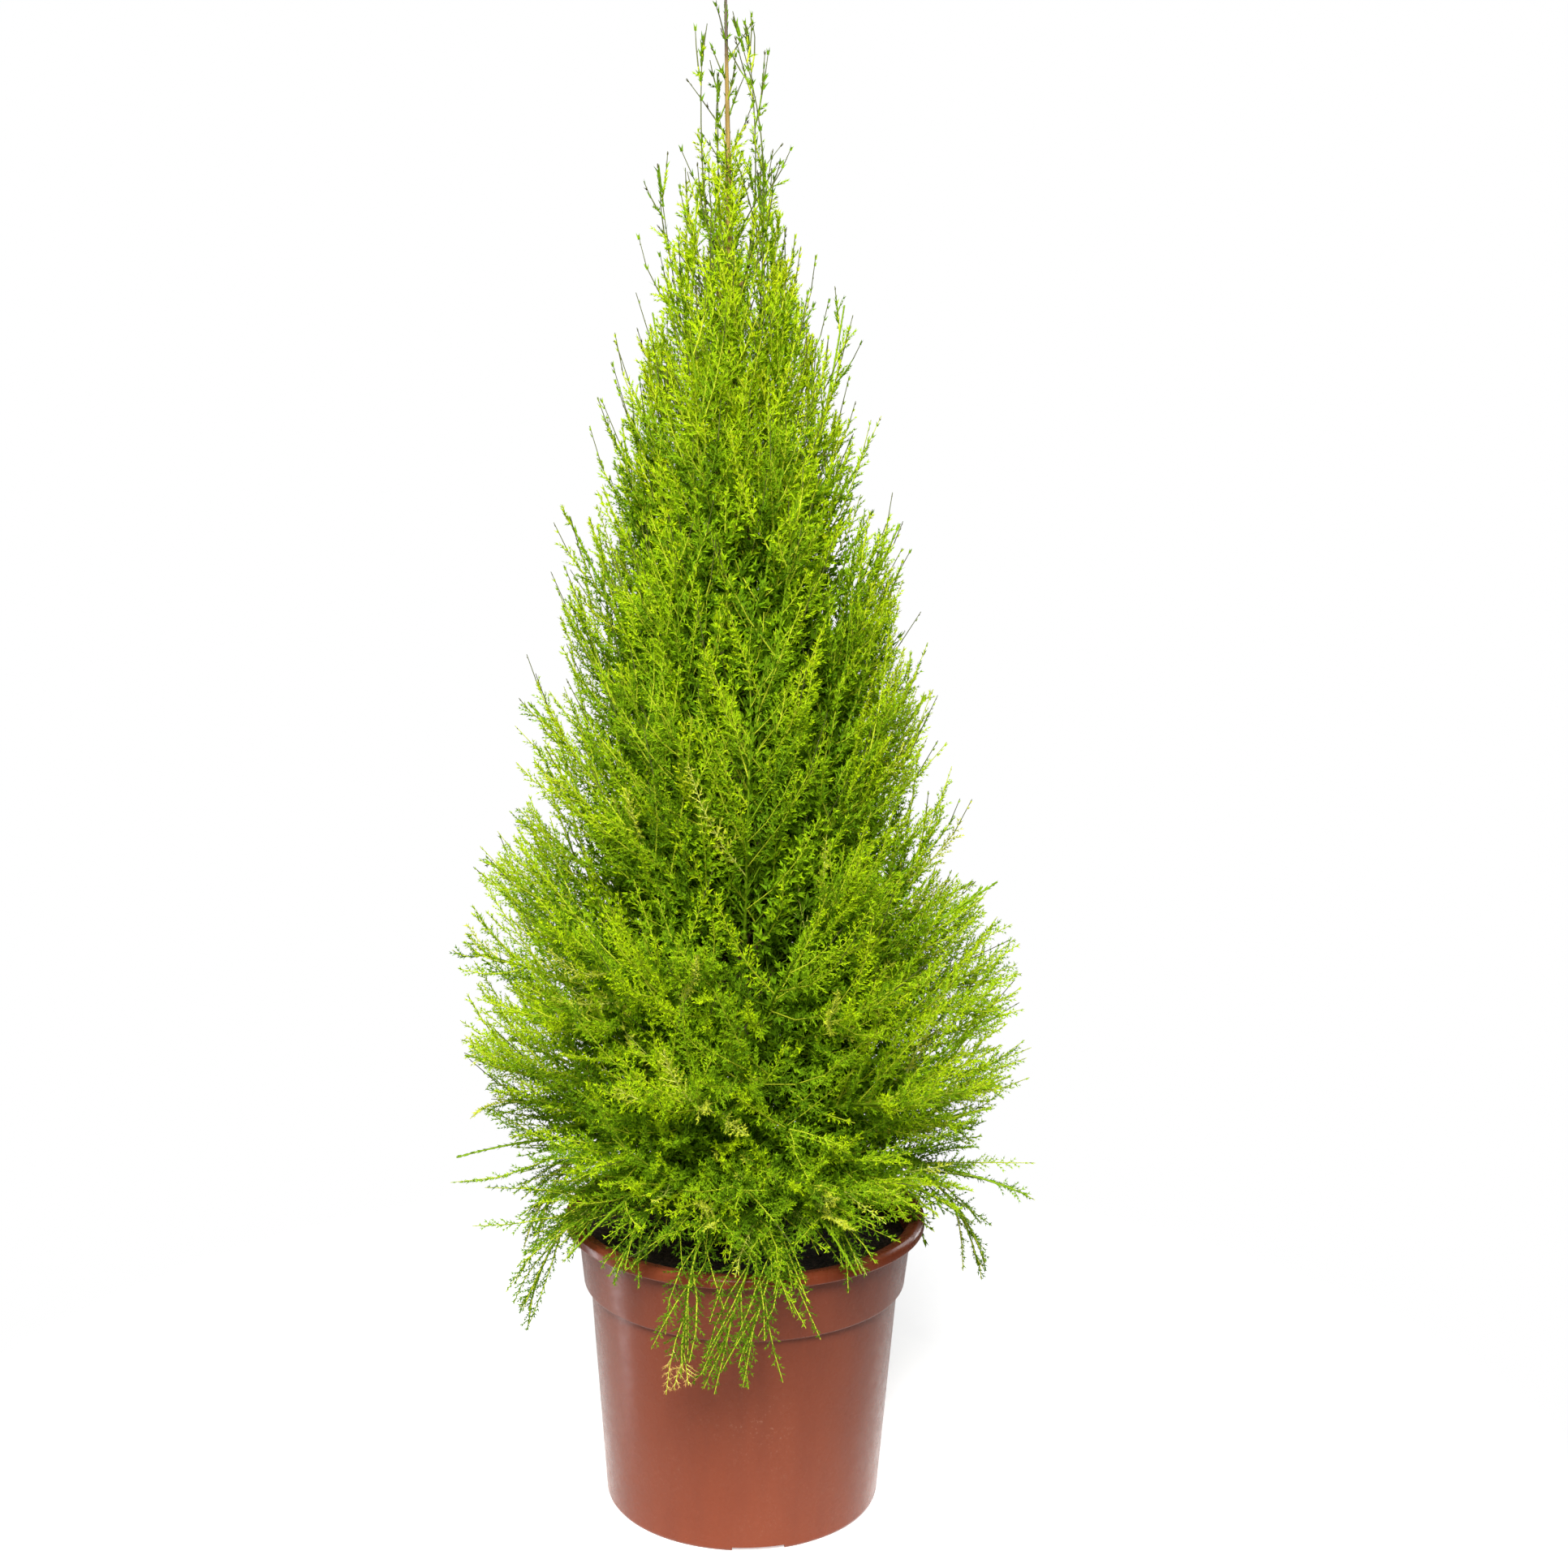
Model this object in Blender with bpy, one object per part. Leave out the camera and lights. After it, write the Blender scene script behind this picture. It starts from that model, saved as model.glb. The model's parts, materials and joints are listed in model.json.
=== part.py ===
"""A golden conical cypress in a terracotta-coloured plastic nursery pot.

Metres, +Z up. The origin is the centre of the pot's flat underside. -Y faces the viewer and +X is to the right.
There is one named object for each piece: the pot, its soil, the trunk, the main boughs and the plumes of foliage.
A plume is a stem with a slim core that toothed blades stand out of. Each blade stands for one feathery side
shoot: its rib is the shoot and its teeth are the finer shoots on it.
"""

import math
import random
from collections import namedtuple

import bmesh
import bpy
import numpy as np
from mathutils import Matrix, Vector
from mathutils.bvhtree import BVHTree

# Pot, a 24 cm nursery container
POT_HEIGHT = 0.197
POT_BASE_RADIUS = 0.0914
POT_BODY_TOP_RADIUS = 0.1028
COLLAR_BOTTOM = 0.150
COLLAR_RADIUS = 0.1068
COLLAR_TOP_RADIUS = 0.1110
COLLAR_STEP = 0.0015
LIP_BOTTOM = 0.188
LIP_RADIUS = 0.1195
LIP_ROUND = 0.0035
POT_WALL = 0.0018
POT_SIDES = 40
FLOOR_THICKNESS = 0.0022
FOOT_DEPTH = 0.0035
FOOT_WIDTH = 0.011
FOOT_ROUND = 0.0020
CENTRE_PAD_RADIUS = 0.030
NOTCH_COUNT = 4
NOTCH_WIDTH = 0.034
NOTCH_HEIGHT = 0.0030
NOTCH_AZIMUTH = -83.0
DRAIN_COUNT = 6
DRAIN_SIDES = 8
DRAIN_RADIUS = 0.005
DRAIN_CIRCLE = 0.060

# Soil, clear of the pot's wall and mounded a little round the trunk
CLEARANCE = 0.0003
SOIL_CLEARANCE = 0.0005
SOIL_LEVEL = 0.180
SOIL_FALL = 0.005
SOIL_MOUND_RADIUS = 0.060
SOIL_FLAT_RADIUS = 0.026

# Trunk, from the soil to the leader's tip
TREE_HEIGHT = 0.965
TRUNK_LEAN = -0.0205
TRUNK_SWAY = 0.0025
TRUNK_SIDES = 8
TRUNK_RINGS = 11
TRUNK_FOOT_RADIUS = 0.0085
TRUNK_TIP_RADIUS = 0.0008
TRUNK_TAPER = 0.85
FLARE_RADIUS = 0.0165
FLARE_HEIGHT = 0.020
FLARE_LOBES = 4

# Crown: (height, distance of the furthest tips from the trunk's axis)
CROWN_PROFILE = (
    (0.110, 0.150),
    (0.160, 0.168),
    (0.210, 0.194),
    (0.300, 0.194),
    (0.410, 0.188),
    (0.470, 0.156),
    (0.600, 0.126),
    (0.700, 0.100),
    (0.800, 0.074),
    (0.900, 0.040),
    (0.955, 0.022),
    (0.965, 0.010),
)
LOWEST_TIP = 0.110
RIM_CLEARANCE = 0.0012

# Tiers of plumes, from the skirt over the pot's rim up to the leader. start is the height on the trunk, tip the
# height of the plume's tip and reach its share of the crown's profile there. leave is the angle from the vertical
# at the trunk, and bend the share of the way to the tip at which the plume turns. bare is the leafless share.
Tier = namedtuple("Tier", "name azimuths start tip reach leave bend bough bare blade")
TIERS = (
    Tier("skirt", (258, 214, 4, 60, 112, 158), 0.212, 0.150, 0.97, 66, 0.84, False, 0.28, 0.074),
    Tier("low", (340, 290, 234, 180, 122, 50), 0.228, 0.226, 1.00, 68, 0.50, True, 0.26, 0.100),
    Tier("lower", (312, 260, 206, 150, 88, 14), 0.254, 0.322, 0.99, 62, 0.48, True, 0.24, 0.102),
    Tier("middle", (284, 344, 40, 106, 168, 228), 0.296, 0.424, 0.97, 46, 0.46, False, 0.12, 0.102),
    Tier("upper", (256, 322, 24, 110, 190), 0.370, 0.545, 0.96, 34, 0.44, False, 0.10, 0.098),
    Tier("high", (290, 8, 92, 198), 0.455, 0.660, 0.95, 27, 0.42, False, 0.10, 0.092),
    Tier("higher", (254, 348, 132), 0.555, 0.775, 0.92, 22, 0.42, False, 0.10, 0.080),
    Tier("top", (300, 170), 0.665, 0.872, 0.88, 18, 0.42, False, 0.10, 0.062),
    Tier("leader", (40, 220), 0.780, 0.946, 0.72, 20, 0.42, False, 0.08, 0.044),
)
AZIMUTH_JITTER = 4.0
HEIGHT_JITTER = 0.010
REACH_JITTER = 0.03
SEED = 4

# Boughs and stems
BOUGH_RADIUS = 0.0040
BOUGH_SIDES = 5
BOUGH_RINGS = 3
STEM_RADIUS = 0.0020
STEM_TIP_RADIUS = 0.0010
STEM_SIDES = 3
STEM_RINGS = 3
STEM_END = 0.78
SEATING_STEPS = 6

# Core of a plume: (share of its leafy length, share of the core's radius), slightly twisted
CORE_PROFILE = ((0.20, 0.62), (0.50, 1.0), (0.80, 0.55))
CORE_FROM = 0.02
CORE_TO = 0.96
CORE_SIDES = 4
CORE_TWIST = 30.0
CORE_TO_BLADE = 0.16
CORE_OF_SPACE = 0.62
CORE_LEAST = 0.06
CORE_TRIES = (1.0, 0.75, 0.5)
ROOM_TRIES = (1.0, 0.85, 0.7, 0.55, 0.4, 0.28, 0.18, 0.1)
CORE_TRUNK_GAP = 0.002

# Toothed blades: lengths tried, angles to the stem at its foot and near its tip, and the blade's own outline
BLADES_PER_PLUME = 6
BLADES_ALONG = (0.04, 0.94)
BLADE_TRIES = (1.0, 0.86, 0.74, 0.62, 0.50)
BLADE_TURNS = 4
BLADE_LEAN = 50.0
BLADE_LEAN_TIP = 26.0
BLADE_LEAN_JITTER = 4.0
BLADE_SIZE_JITTER = 0.07
BLADE_SHORTENING = 0.22
BLADE_SPREAD = 120.0
BLADE_SPREAD_LEVEL = 180.0
BLADE_ROLL = 28.0
BLADE_ROLL_STEP = 7.0
BLADE_TURN_STEP = 0.37
BLADE_WIDTH = 0.21
BLADE_DROOP = 0.07
BLADE_THICKNESS = 0.016
BLADE_SLIMMEST = 0.0011
BLADE_TEST_SWELL = 1.6
TERMINAL_FROM = 0.06
TOOTH_FROM = (0.16, 0.40)
TOOTH_REACH = (1.00, 0.70)
TOOTH_FORWARD = 1.20
TOOTH_NOTCH = 0.34
GOLDEN_SHARE = 0.618

# Fusing a plume's pieces
FUSE_TRIES = 4
FUSE_GROWTH = 0.004
TOUCHING = 0.000002

# Space of a plume: half the least gap between neighbours, and how closely its line is followed
CELL_MARGIN = 0.0004
LINE_POINTS = 18
FAR_AWAY = 9.0

FOLIAGE = (0.33, 0.52, 0.02)
BARK = (0.30, 0.17, 0.09)
TERRACOTTA = (0.36, 0.095, 0.050)
SOIL = (0.045, 0.030, 0.022)


def clear_scene():
    for thing in list(bpy.data.objects):
        bpy.data.objects.remove(thing)


def material(name, colour, roughness):
    made = bpy.data.materials.new(name)
    made.use_nodes = True
    shader = made.node_tree.nodes["Principled BSDF"]
    shader.inputs["Base Color"].default_value = (*colour, 1.0)
    shader.inputs["Roughness"].default_value = roughness
    shader.inputs["Metallic"].default_value = 0.0
    made.diffuse_color = (*colour, 1.0)
    return made


def add_object(name, vertices, faces, finish, collection=None):
    mesh = bpy.data.meshes.new(name)
    mesh.from_pydata([tuple(v) for v in vertices], [], faces)
    mesh.materials.append(finish)
    mesh.update()
    made = bpy.data.objects.new(name, mesh)
    (collection or bpy.context.scene.collection).objects.link(made)
    return made


def smooth(thing, angle=35.0):
    thing.data.shade_smooth()
    thing.data.set_sharp_from_angle(angle=math.radians(angle))


# Small geometry helpers
def outward(azimuth):
    """The level direction at an azimuth in degrees, counted from +X towards +Y."""
    a = math.radians(azimuth)
    return Vector((math.cos(a), math.sin(a), 0.0))


def between(points, x):
    """The value at x on a line through (x, value) points."""
    return float(np.interp(x, [p[0] for p in points], [p[1] for p in points]))


def mixed(first, last, share):
    return first + (last - first) * share


def frame_across(direction):
    """Two unit vectors square to a direction and to each other."""
    direction = direction.normalized()
    helper = Vector((0, 0, 1)) if abs(direction.z) < 0.9 else Vector((1, 0, 0))
    first = direction.cross(helper).normalized()
    return first, direction.cross(first).normalized()


def frames_along(directions):
    """For each direction two unit vectors square to it, carried along without a twist."""
    first = frame_across(directions[0])[0]
    frames = []
    for direction in directions:
        ahead = direction.normalized()
        first = (first - ahead * first.dot(ahead)).normalized()
        frames.append((first, ahead.cross(first)))
    return frames


def lathe(profile, sides):
    """Vertices and faces of a closed profile of (radius, height) turned about Z. A radius of 0 is one point."""
    vertices, rings = [], []
    for radius, height in profile:
        if radius == 0.0:
            rings.append([len(vertices)] * sides)
            vertices.append((0.0, 0.0, height))
            continue
        rings.append([len(vertices) + k for k in range(sides)])
        for k in range(sides):
            a = 2.0 * math.pi * k / sides
            vertices.append((radius * math.cos(a), radius * math.sin(a), height))
    faces = []
    for low, high in zip(rings, rings[1:]):
        for k in range(sides):
            n = (k + 1) % sides
            corners = [low[k], low[n], high[n], high[k]]
            faces.append([c for i, c in enumerate(corners) if c not in corners[:i]])
    return vertices, faces


def sweep(points, radii, sides):
    """Vertices and faces of a tapering limb along points, with flat ends square to its line."""
    last = len(points) - 1
    ahead = [points[min(i + 1, last)] - points[max(i - 1, 0)] for i in range(last + 1)]
    vertices = []
    for point, radius, (first, second) in zip(points, radii, frames_along(ahead)):
        for k in range(sides):
            a = 2.0 * math.pi * k / sides
            vertices.append(point + (first * math.cos(a) + second * math.sin(a)) * radius)
    return vertices, tube_faces(len(points), sides)


def tube_faces(rings, sides):
    faces = [list(range(sides - 1, -1, -1))]
    for i in range(rings - 1):
        for k in range(sides):
            n = (k + 1) % sides
            faces.append([i * sides + k, i * sides + n, (i + 1) * sides + n, (i + 1) * sides + k])
    faces.append([(rings - 1) * sides + k for k in range(sides)])
    return faces


def boolean(target, tools, operation, solver):
    """Applies one Boolean with a collection of tools to the target, and removes the tools."""
    modifier = target.modifiers.new(operation.lower(), "BOOLEAN")
    modifier.operation = operation
    modifier.solver = solver
    modifier.operand_type = "COLLECTION"
    modifier.collection = tools
    graph = bpy.context.evaluated_depsgraph_get()
    joined = bpy.data.meshes.new_from_object(target.evaluated_get(graph))
    target.modifiers.remove(modifier)
    target.data = joined
    for thing in list(tools.objects):
        bpy.data.objects.remove(thing)
    bpy.data.collections.remove(tools)


def new_tools(name):
    tools = bpy.data.collections.new(name)
    bpy.context.scene.collection.children.link(tools)
    return tools


# Pot and soil
def make_pot(finish):
    floor = FOOT_DEPTH + FLOOR_THICKNESS
    profile = (
        (0.0, 0.0),
        (CENTRE_PAD_RADIUS, 0.0),
        (CENTRE_PAD_RADIUS + FOOT_DEPTH, FOOT_DEPTH),
        (POT_BASE_RADIUS - FOOT_WIDTH, FOOT_DEPTH),
        (POT_BASE_RADIUS - FOOT_WIDTH + 0.001, 0.0),
        (POT_BASE_RADIUS - 0.75 * FOOT_ROUND, 0.0),
        (POT_BASE_RADIUS, FOOT_ROUND),
        (POT_BODY_TOP_RADIUS, COLLAR_BOTTOM - COLLAR_STEP),
        (COLLAR_RADIUS, COLLAR_BOTTOM),
        (COLLAR_TOP_RADIUS, LIP_BOTTOM),
        (LIP_RADIUS, LIP_BOTTOM + COLLAR_STEP),
        (LIP_RADIUS - 0.1 * LIP_ROUND, POT_HEIGHT - 0.6 * LIP_ROUND),
        (LIP_RADIUS - LIP_ROUND, POT_HEIGHT),
        (COLLAR_TOP_RADIUS - POT_WALL, POT_HEIGHT - 0.3 * LIP_ROUND),
        (POT_BODY_TOP_RADIUS - POT_WALL, COLLAR_BOTTOM - 2.0 * COLLAR_STEP),
        (POT_BASE_RADIUS - POT_WALL, floor),
        (0.0, floor),
    )
    pot = add_object("pot", *lathe(profile, POT_SIDES), finish)
    tools = new_tools("pot_cutters")
    for k in range(NOTCH_COUNT):
        azimuth = NOTCH_AZIMUTH + 360.0 * k / NOTCH_COUNT
        size = (2.4 * FOOT_WIDTH, NOTCH_WIDTH, 2.0 * NOTCH_HEIGHT)
        box = box_shape(outward(azimuth) * POT_BASE_RADIUS, size, azimuth)
        add_object("notch", *box, finish, tools)
    for k in range(DRAIN_COUNT):
        centre = outward(360.0 * k / DRAIN_COUNT) * DRAIN_CIRCLE
        line = [centre, centre + Vector((0, 0, 2.0 * floor))]
        add_object("drain", *sweep(line, [DRAIN_RADIUS] * 2, DRAIN_SIDES), finish, tools)
    boolean(pot, tools, "DIFFERENCE", "EXACT")
    smooth(pot)
    return pot


def box_shape(centre, size, azimuth):
    turn = Matrix.Rotation(math.radians(azimuth), 3, "Z")
    corners = [(x, y, z) for x in (-0.5, 0.5) for y in (-0.5, 0.5) for z in (-0.5, 0.5)]
    vertices = [centre + turn @ Vector([c * s for c, s in zip(corner, size)]) for corner in corners]
    faces = [[0, 1, 3, 2], [4, 6, 7, 5], [0, 4, 5, 1], [2, 3, 7, 6], [0, 2, 6, 4], [1, 5, 7, 3]]
    return vertices, faces


def make_soil(finish):
    gap = POT_WALL + SOIL_CLEARANCE
    floor = FOOT_DEPTH + FLOOR_THICKNESS + CLEARANCE
    edge = SOIL_LEVEL - SOIL_FALL
    bend = COLLAR_BOTTOM - 2.0 * COLLAR_STEP
    wall_line = ((bend, POT_BODY_TOP_RADIUS), (POT_HEIGHT - 0.3 * LIP_ROUND, COLLAR_TOP_RADIUS))
    profile = (
        (0.0, floor),
        (POT_BASE_RADIUS - gap, floor),
        (POT_BODY_TOP_RADIUS - gap, bend),
        (between(wall_line, edge) - gap, edge),
        (SOIL_MOUND_RADIUS, SOIL_LEVEL - 0.05 * SOIL_FALL),
        (SOIL_FLAT_RADIUS, SOIL_LEVEL),
        (0.0, SOIL_LEVEL),
    )
    soil = add_object("potting_soil", *lathe(profile, POT_SIDES), finish)
    smooth(soil)
    return soil


# Trunk
def height_share(height):
    return (height - SOIL_LEVEL) / (TREE_HEIGHT - SOIL_LEVEL)


def trunk_axis(height):
    """The trunk's centre at a height: a slight lean to the left and a slighter sway."""
    share = height_share(height)
    return Vector((TRUNK_LEAN * share, TRUNK_SWAY * math.sin(2.0 * math.pi * share), height))


def trunk_radius(height):
    share = max(0.0, height_share(height)) ** TRUNK_TAPER
    return mixed(TRUNK_FOOT_RADIUS, TRUNK_TIP_RADIUS, share)


def make_trunk(finish):
    foot = SOIL_LEVEL + CLEARANCE
    first = SOIL_LEVEL + FLARE_HEIGHT
    heights = [foot, SOIL_LEVEL + 0.35 * FLARE_HEIGHT]
    heights += [mixed(first, TREE_HEIGHT, k / TRUNK_RINGS) for k in range(TRUNK_RINGS + 1)]
    vertices = []
    for height in heights:
        centre = trunk_axis(height)
        spread = max(0.0, 1.0 - (height - SOIL_LEVEL) / FLARE_HEIGHT) ** 2
        for k in range(TRUNK_SIDES):
            a = 2.0 * math.pi * k / TRUNK_SIDES
            lobe = 0.75 + 0.25 * math.cos(FLARE_LOBES * a)
            radius = trunk_radius(height) + (FLARE_RADIUS - TRUNK_FOOT_RADIUS) * spread * lobe
            vertices.append(centre + Vector((math.cos(a), math.sin(a), 0.0)) * radius)
    trunk = add_object("trunk", vertices, tube_faces(len(heights), TRUNK_SIDES), finish)
    smooth(trunk)
    return trunk


# Plumes: where they run, and the space that each keeps to
class Plume:
    """A plume's line from the trunk to its furthest tip, and the sizes that it takes from its tier."""

    def __init__(self, tier, number, azimuth, dice):
        self.name = f"{tier.name}_{number}"
        self.bough, self.bare, self.blade = tier.bough, tier.bare, tier.blade
        self.side = outward(azimuth + dice.uniform(-1, 1) * AZIMUTH_JITTER)
        lean = math.radians(tier.leave)
        heading = self.side * math.sin(lean) + Vector((0, 0, math.cos(lean)))
        start = tier.start + dice.uniform(-0.5, 0.5) * HEIGHT_JITTER
        self.root = trunk_axis(start) + self.side * (trunk_radius(start) + BOUGH_RADIUS)
        tip = tier.tip + dice.uniform(-1, 1) * HEIGHT_JITTER
        reach = between(CROWN_PROFILE, tip) * tier.reach * (1.0 - REACH_JITTER * dice.random())
        self.end = trunk_axis(tip) + self.side * reach
        self.turn = self.root + heading * ((self.end - self.root).length * tier.bend)

    def point(self, t):
        return self.root * (1 - t) ** 2 + self.turn * (2 * t * (1 - t)) + self.end * t**2

    def slope(self, t):
        return ((self.turn - self.root) * (1 - t) + (self.end - self.turn) * t).normalized()

    def length(self):
        points = [self.point(k / LINE_POINTS) for k in range(LINE_POINTS + 1)]
        return sum((b - a).length for a, b in zip(points, points[1:]))

    def limb(self, start, end, radius, tip_radius, sides, rings):
        """A tapering limb along a stretch of the plume's line."""
        shares = [k / rings for k in range(rings + 1)]
        points = [self.point(mixed(start, end, share)) for share in shares]
        return sweep(points, [mixed(radius, tip_radius, share) for share in shares], sides)


    def bough_shape(self):
        return self.limb(0.0, self.bare, BOUGH_RADIUS, STEM_RADIUS, BOUGH_SIDES, BOUGH_RINGS)

    def stem_shape(self):
        """The mass's own stem, from the bough's tip, or from the trunk where the plume has no bough."""
        start = self.bare + CLEARANCE / self.length() if self.bough else 0.0
        return self.limb(start, STEM_END, STEM_RADIUS, STEM_TIP_RADIUS, STEM_SIDES, STEM_RINGS)

    def seat(self, trunk_tree):
        """Slides the root in or out until the limb's foot stands just clear of the trunk."""
        sides = BOUGH_SIDES if self.bough else STEM_SIDES
        for _ in range(SEATING_STEPS):
            foot = (self.bough_shape() if self.bough else self.stem_shape())[0][:sides]
            foot += [(a + b) / 2.0 for a, b in zip(foot, foot[1:] + foot[:1])]
            gap = min(trunk_tree.find_nearest(point)[3] for point in foot)
            self.root = self.root - self.side * (gap - CLEARANCE)


def plan_plumes(trunk):
    """Every plume of every tier, seated on the trunk."""
    dice = random.Random(SEED)
    trunk_tree = BVHTree.FromPolygons(*solid_of(trunk))
    plumes = [Plume(tier, k + 1, azimuth, dice) for tier in TIERS for k, azimuth in enumerate(tier.azimuths)]
    for plume in plumes:
        plume.seat(trunk_tree)
    return plumes


class Crown:
    """The space that each plume keeps to: the points nearer to its own line than to any other plume's line."""

    def __init__(self, plumes, solids):
        shares = np.linspace(0.0, 1.0, LINE_POINTS)
        self.lines = np.array([[tuple(plume.point(t)) for t in shares] for plume in plumes])
        self.taken = [BVHTree.FromPolygons(*solid) for solid in solids]

    def distances(self, points):
        """The distance from each point to each plume's line, as an array of points by plumes."""
        starts, ends = self.lines[:, :-1], self.lines[:, 1:]
        points = points[:, None, None, :]
        along = ends - starts
        share = np.clip(((points - starts) * along).sum(-1) / (along * along).sum(-1), 0.0, 1.0)
        return np.linalg.norm(points - starts - along * share[..., None], axis=-1).min(-1)

    def keeps_to_space(self, owner, vertices, faces):
        """Whether a shape's corners, and points along its edges, are in the owner's space and in the crown."""
        points = np.array([tuple(v) for v in vertices])
        edges = np.array([(face[i], face[i - 1]) for face in faces for i in range(len(face))])
        first, last = points[edges[:, 0]], points[edges[:, 1]]
        samples = np.concatenate([points, mixed(first, last, 0.25), mixed(first, last, 0.5)])
        return self.owns(owner, samples, CELL_MARGIN)

    def owns(self, owner, samples, margin=0.0):
        distance = self.distances(samples)
        own = distance[:, owner].copy()
        distance[:, owner] = FAR_AWAY
        return bool((own + margin < distance.min(1)).all()) and inside_crown(samples)

    def room(self, owner, centre, way, radius):
        """How far, up to radius, a core may swell from centre: a share of the plume's own space."""
        for share in ROOM_TRIES:
            point = centre + way * (radius * share / CORE_OF_SPACE)
            off_trunk = (point - trunk_axis(point.z)).length - trunk_radius(point.z)
            if off_trunk > CORE_TRUNK_GAP and self.owns(owner, np.array([tuple(point)])):
                return radius * share
        return radius * CORE_LEAST

    def is_free(self, vertices, faces):
        tree = BVHTree.FromPolygons(vertices, faces)
        return not any(tree.overlap(other) for other in self.taken)

    def take(self, thing):
        self.taken.append(BVHTree.FromPolygons(*solid_of(thing)))


def inside_crown(points):
    """Whether all the points are within the crown's outline and outside the pot."""
    heights = points[:, 2]
    if heights.max() > TREE_HEIGHT or heights.min() < LOWEST_TIP:
        return False
    share = height_share(heights)
    axis = np.stack([TRUNK_LEAN * share, TRUNK_SWAY * np.sin(2.0 * np.pi * share)], 1)
    off_axis = np.linalg.norm(points[:, :2] - axis, axis=1)
    limit = np.interp(heights, [p[0] for p in CROWN_PROFILE], [p[1] for p in CROWN_PROFILE])
    off_pot = np.linalg.norm(points[:, :2], axis=1)
    in_pot = (off_pot < LIP_RADIUS + RIM_CLEARANCE) & (heights < POT_HEIGHT + RIM_CLEARANCE)
    return not (off_axis > limit).any() and not in_pot.any()


def make_bough(plume, finish):
    bough = add_object("bough_" + plume.name, *plume.bough_shape(), finish)
    smooth(bough, 80.0)
    return bough


# A toothed blade, in its own frame: X along the rib, Y across, Z through its thickness
def blade_shape(length, half_width, thickness, droop):
    """Vertices and faces of a feather-like blade with two forward teeth a side and a pointed tip."""
    vertices = []
    for share in (0.0, TOOTH_FROM[1]):
        vertices.append([share * length, 0.0, 0.5 * thickness])
        vertices.append([share * length, 0.0, -0.5 * thickness])
    vertices.append([length, 0.0, 0.0])
    tip = 4
    for side in (1, -1):
        low, high = (reach * half_width for reach in TOOTH_REACH)
        vertices.append([TOOTH_FROM[0] * length + TOOTH_FORWARD * low, side * low, 0.0])
        vertices.append([TOOTH_FROM[1] * length, side * TOOTH_NOTCH * half_width, 0.0])
        vertices.append([TOOTH_FROM[1] * length + TOOTH_FORWARD * high, side * high, 0.0])
    for vertex in vertices:
        vertex[2] -= droop * (vertex[0] / length) ** 2 * length
    faces = []
    for side, low in ((1, 5), (-1, 8)):
        notch, high = low + 1, low + 2
        for top in (True, False):
            root, middle = (0, 2) if top else (1, 3)
            patches = [(root, low, notch), (root, notch, middle), (middle, notch, high), (middle, high, tip)]
            turned = (side > 0) == top
            faces += [tuple(reversed(p)) if turned else p for p in patches]
        faces.append((0, 1, low) if side > 0 else (1, 0, low))
    return vertices, faces


def place_blade(root, heading, across, length, droop, swell=1.0):
    thickness = max(BLADE_SLIMMEST, length * BLADE_THICKNESS) * swell
    vertices, faces = blade_shape(length, BLADE_WIDTH * length, thickness, droop)
    x = heading.normalized()
    y = (across - x * across.dot(x)).normalized()
    turn = Matrix((x, y, x.cross(y))).transposed()
    return [root + turn @ Vector(v) for v in vertices], faces


# A plume's mass
def grow_mass(index, plume, crown, finish, dice):
    """A stem, its slim core and the blades that stand out of it, fused."""
    pieces = [plume.stem_shape(), core_shape(index, plume, crown)]
    blades = [(STEM_END - TERMINAL_FROM, 0.0, (1.0 - STEM_END + TERMINAL_FROM) * plume.length())]
    for k in range(BLADES_PER_PLUME):
        along = (k + 0.5) / BLADES_PER_PLUME
        t = mixed(plume.bare, STEM_END, mixed(*BLADES_ALONG, along))
        jitter = dice.uniform(-1, 1) * BLADE_LEAN_JITTER
        size = (1.0 - BLADE_SHORTENING * along) * (1.0 + dice.uniform(-1, 1) * BLADE_SIZE_JITTER)
        blades.append((t, mixed(BLADE_LEAN, BLADE_LEAN_TIP, along) + jitter, plume.blade * size))
    pieces += [try_blade(index, plume, crown, k, *blade) for k, blade in enumerate(blades)]
    return fuse("plume_" + plume.name, [piece for piece in pieces if piece], finish)


def core_shape(index, plume, crown):
    """A slim spindle along the stem, drawn in wherever the plume's space is narrow, or None."""
    places = [mixed(plume.bare, CORE_TO, share) for share, _ in CORE_PROFILE]
    frames = frames_along([plume.slope(t) for t in places])
    for size in CORE_TRIES:
        vertices = [plume.point(plume.bare + CORE_FROM)]
        for ring, (t, (first, second)) in enumerate(zip(places, frames)):
            centre, swell = plume.point(t), CORE_PROFILE[ring][1]
            for k in range(CORE_SIDES):
                a = 2.0 * math.pi * k / CORE_SIDES + math.radians(CORE_TWIST * ring)
                way = first * math.cos(a) + second * math.sin(a)
                radius = size * swell * CORE_TO_BLADE * plume.blade
                vertices.append(centre + way * crown.room(index, centre, way, radius))
        vertices.append(plume.point(CORE_TO))
        faces = spindle_faces(len(CORE_PROFILE), CORE_SIDES)
        if crown.is_free(vertices, faces):
            return vertices, faces
    return None


def spindle_faces(rings, sides):
    """Triangles of a closed spindle: a first point, rings of sides points, and a last point."""
    faces = []
    last_ring, last = 1 + (rings - 1) * sides, 1 + rings * sides
    for k in range(sides):
        n = (k + 1) % sides
        faces.append((0, 1 + n, 1 + k))
        for ring in range(rings - 1):
            low, high = 1 + ring * sides, 1 + (ring + 1) * sides
            faces += [(low + k, low + n, high + n), (low + k, high + n, high + k)]
        faces.append((last_ring + k, last_ring + n, last))
    return faces


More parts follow.
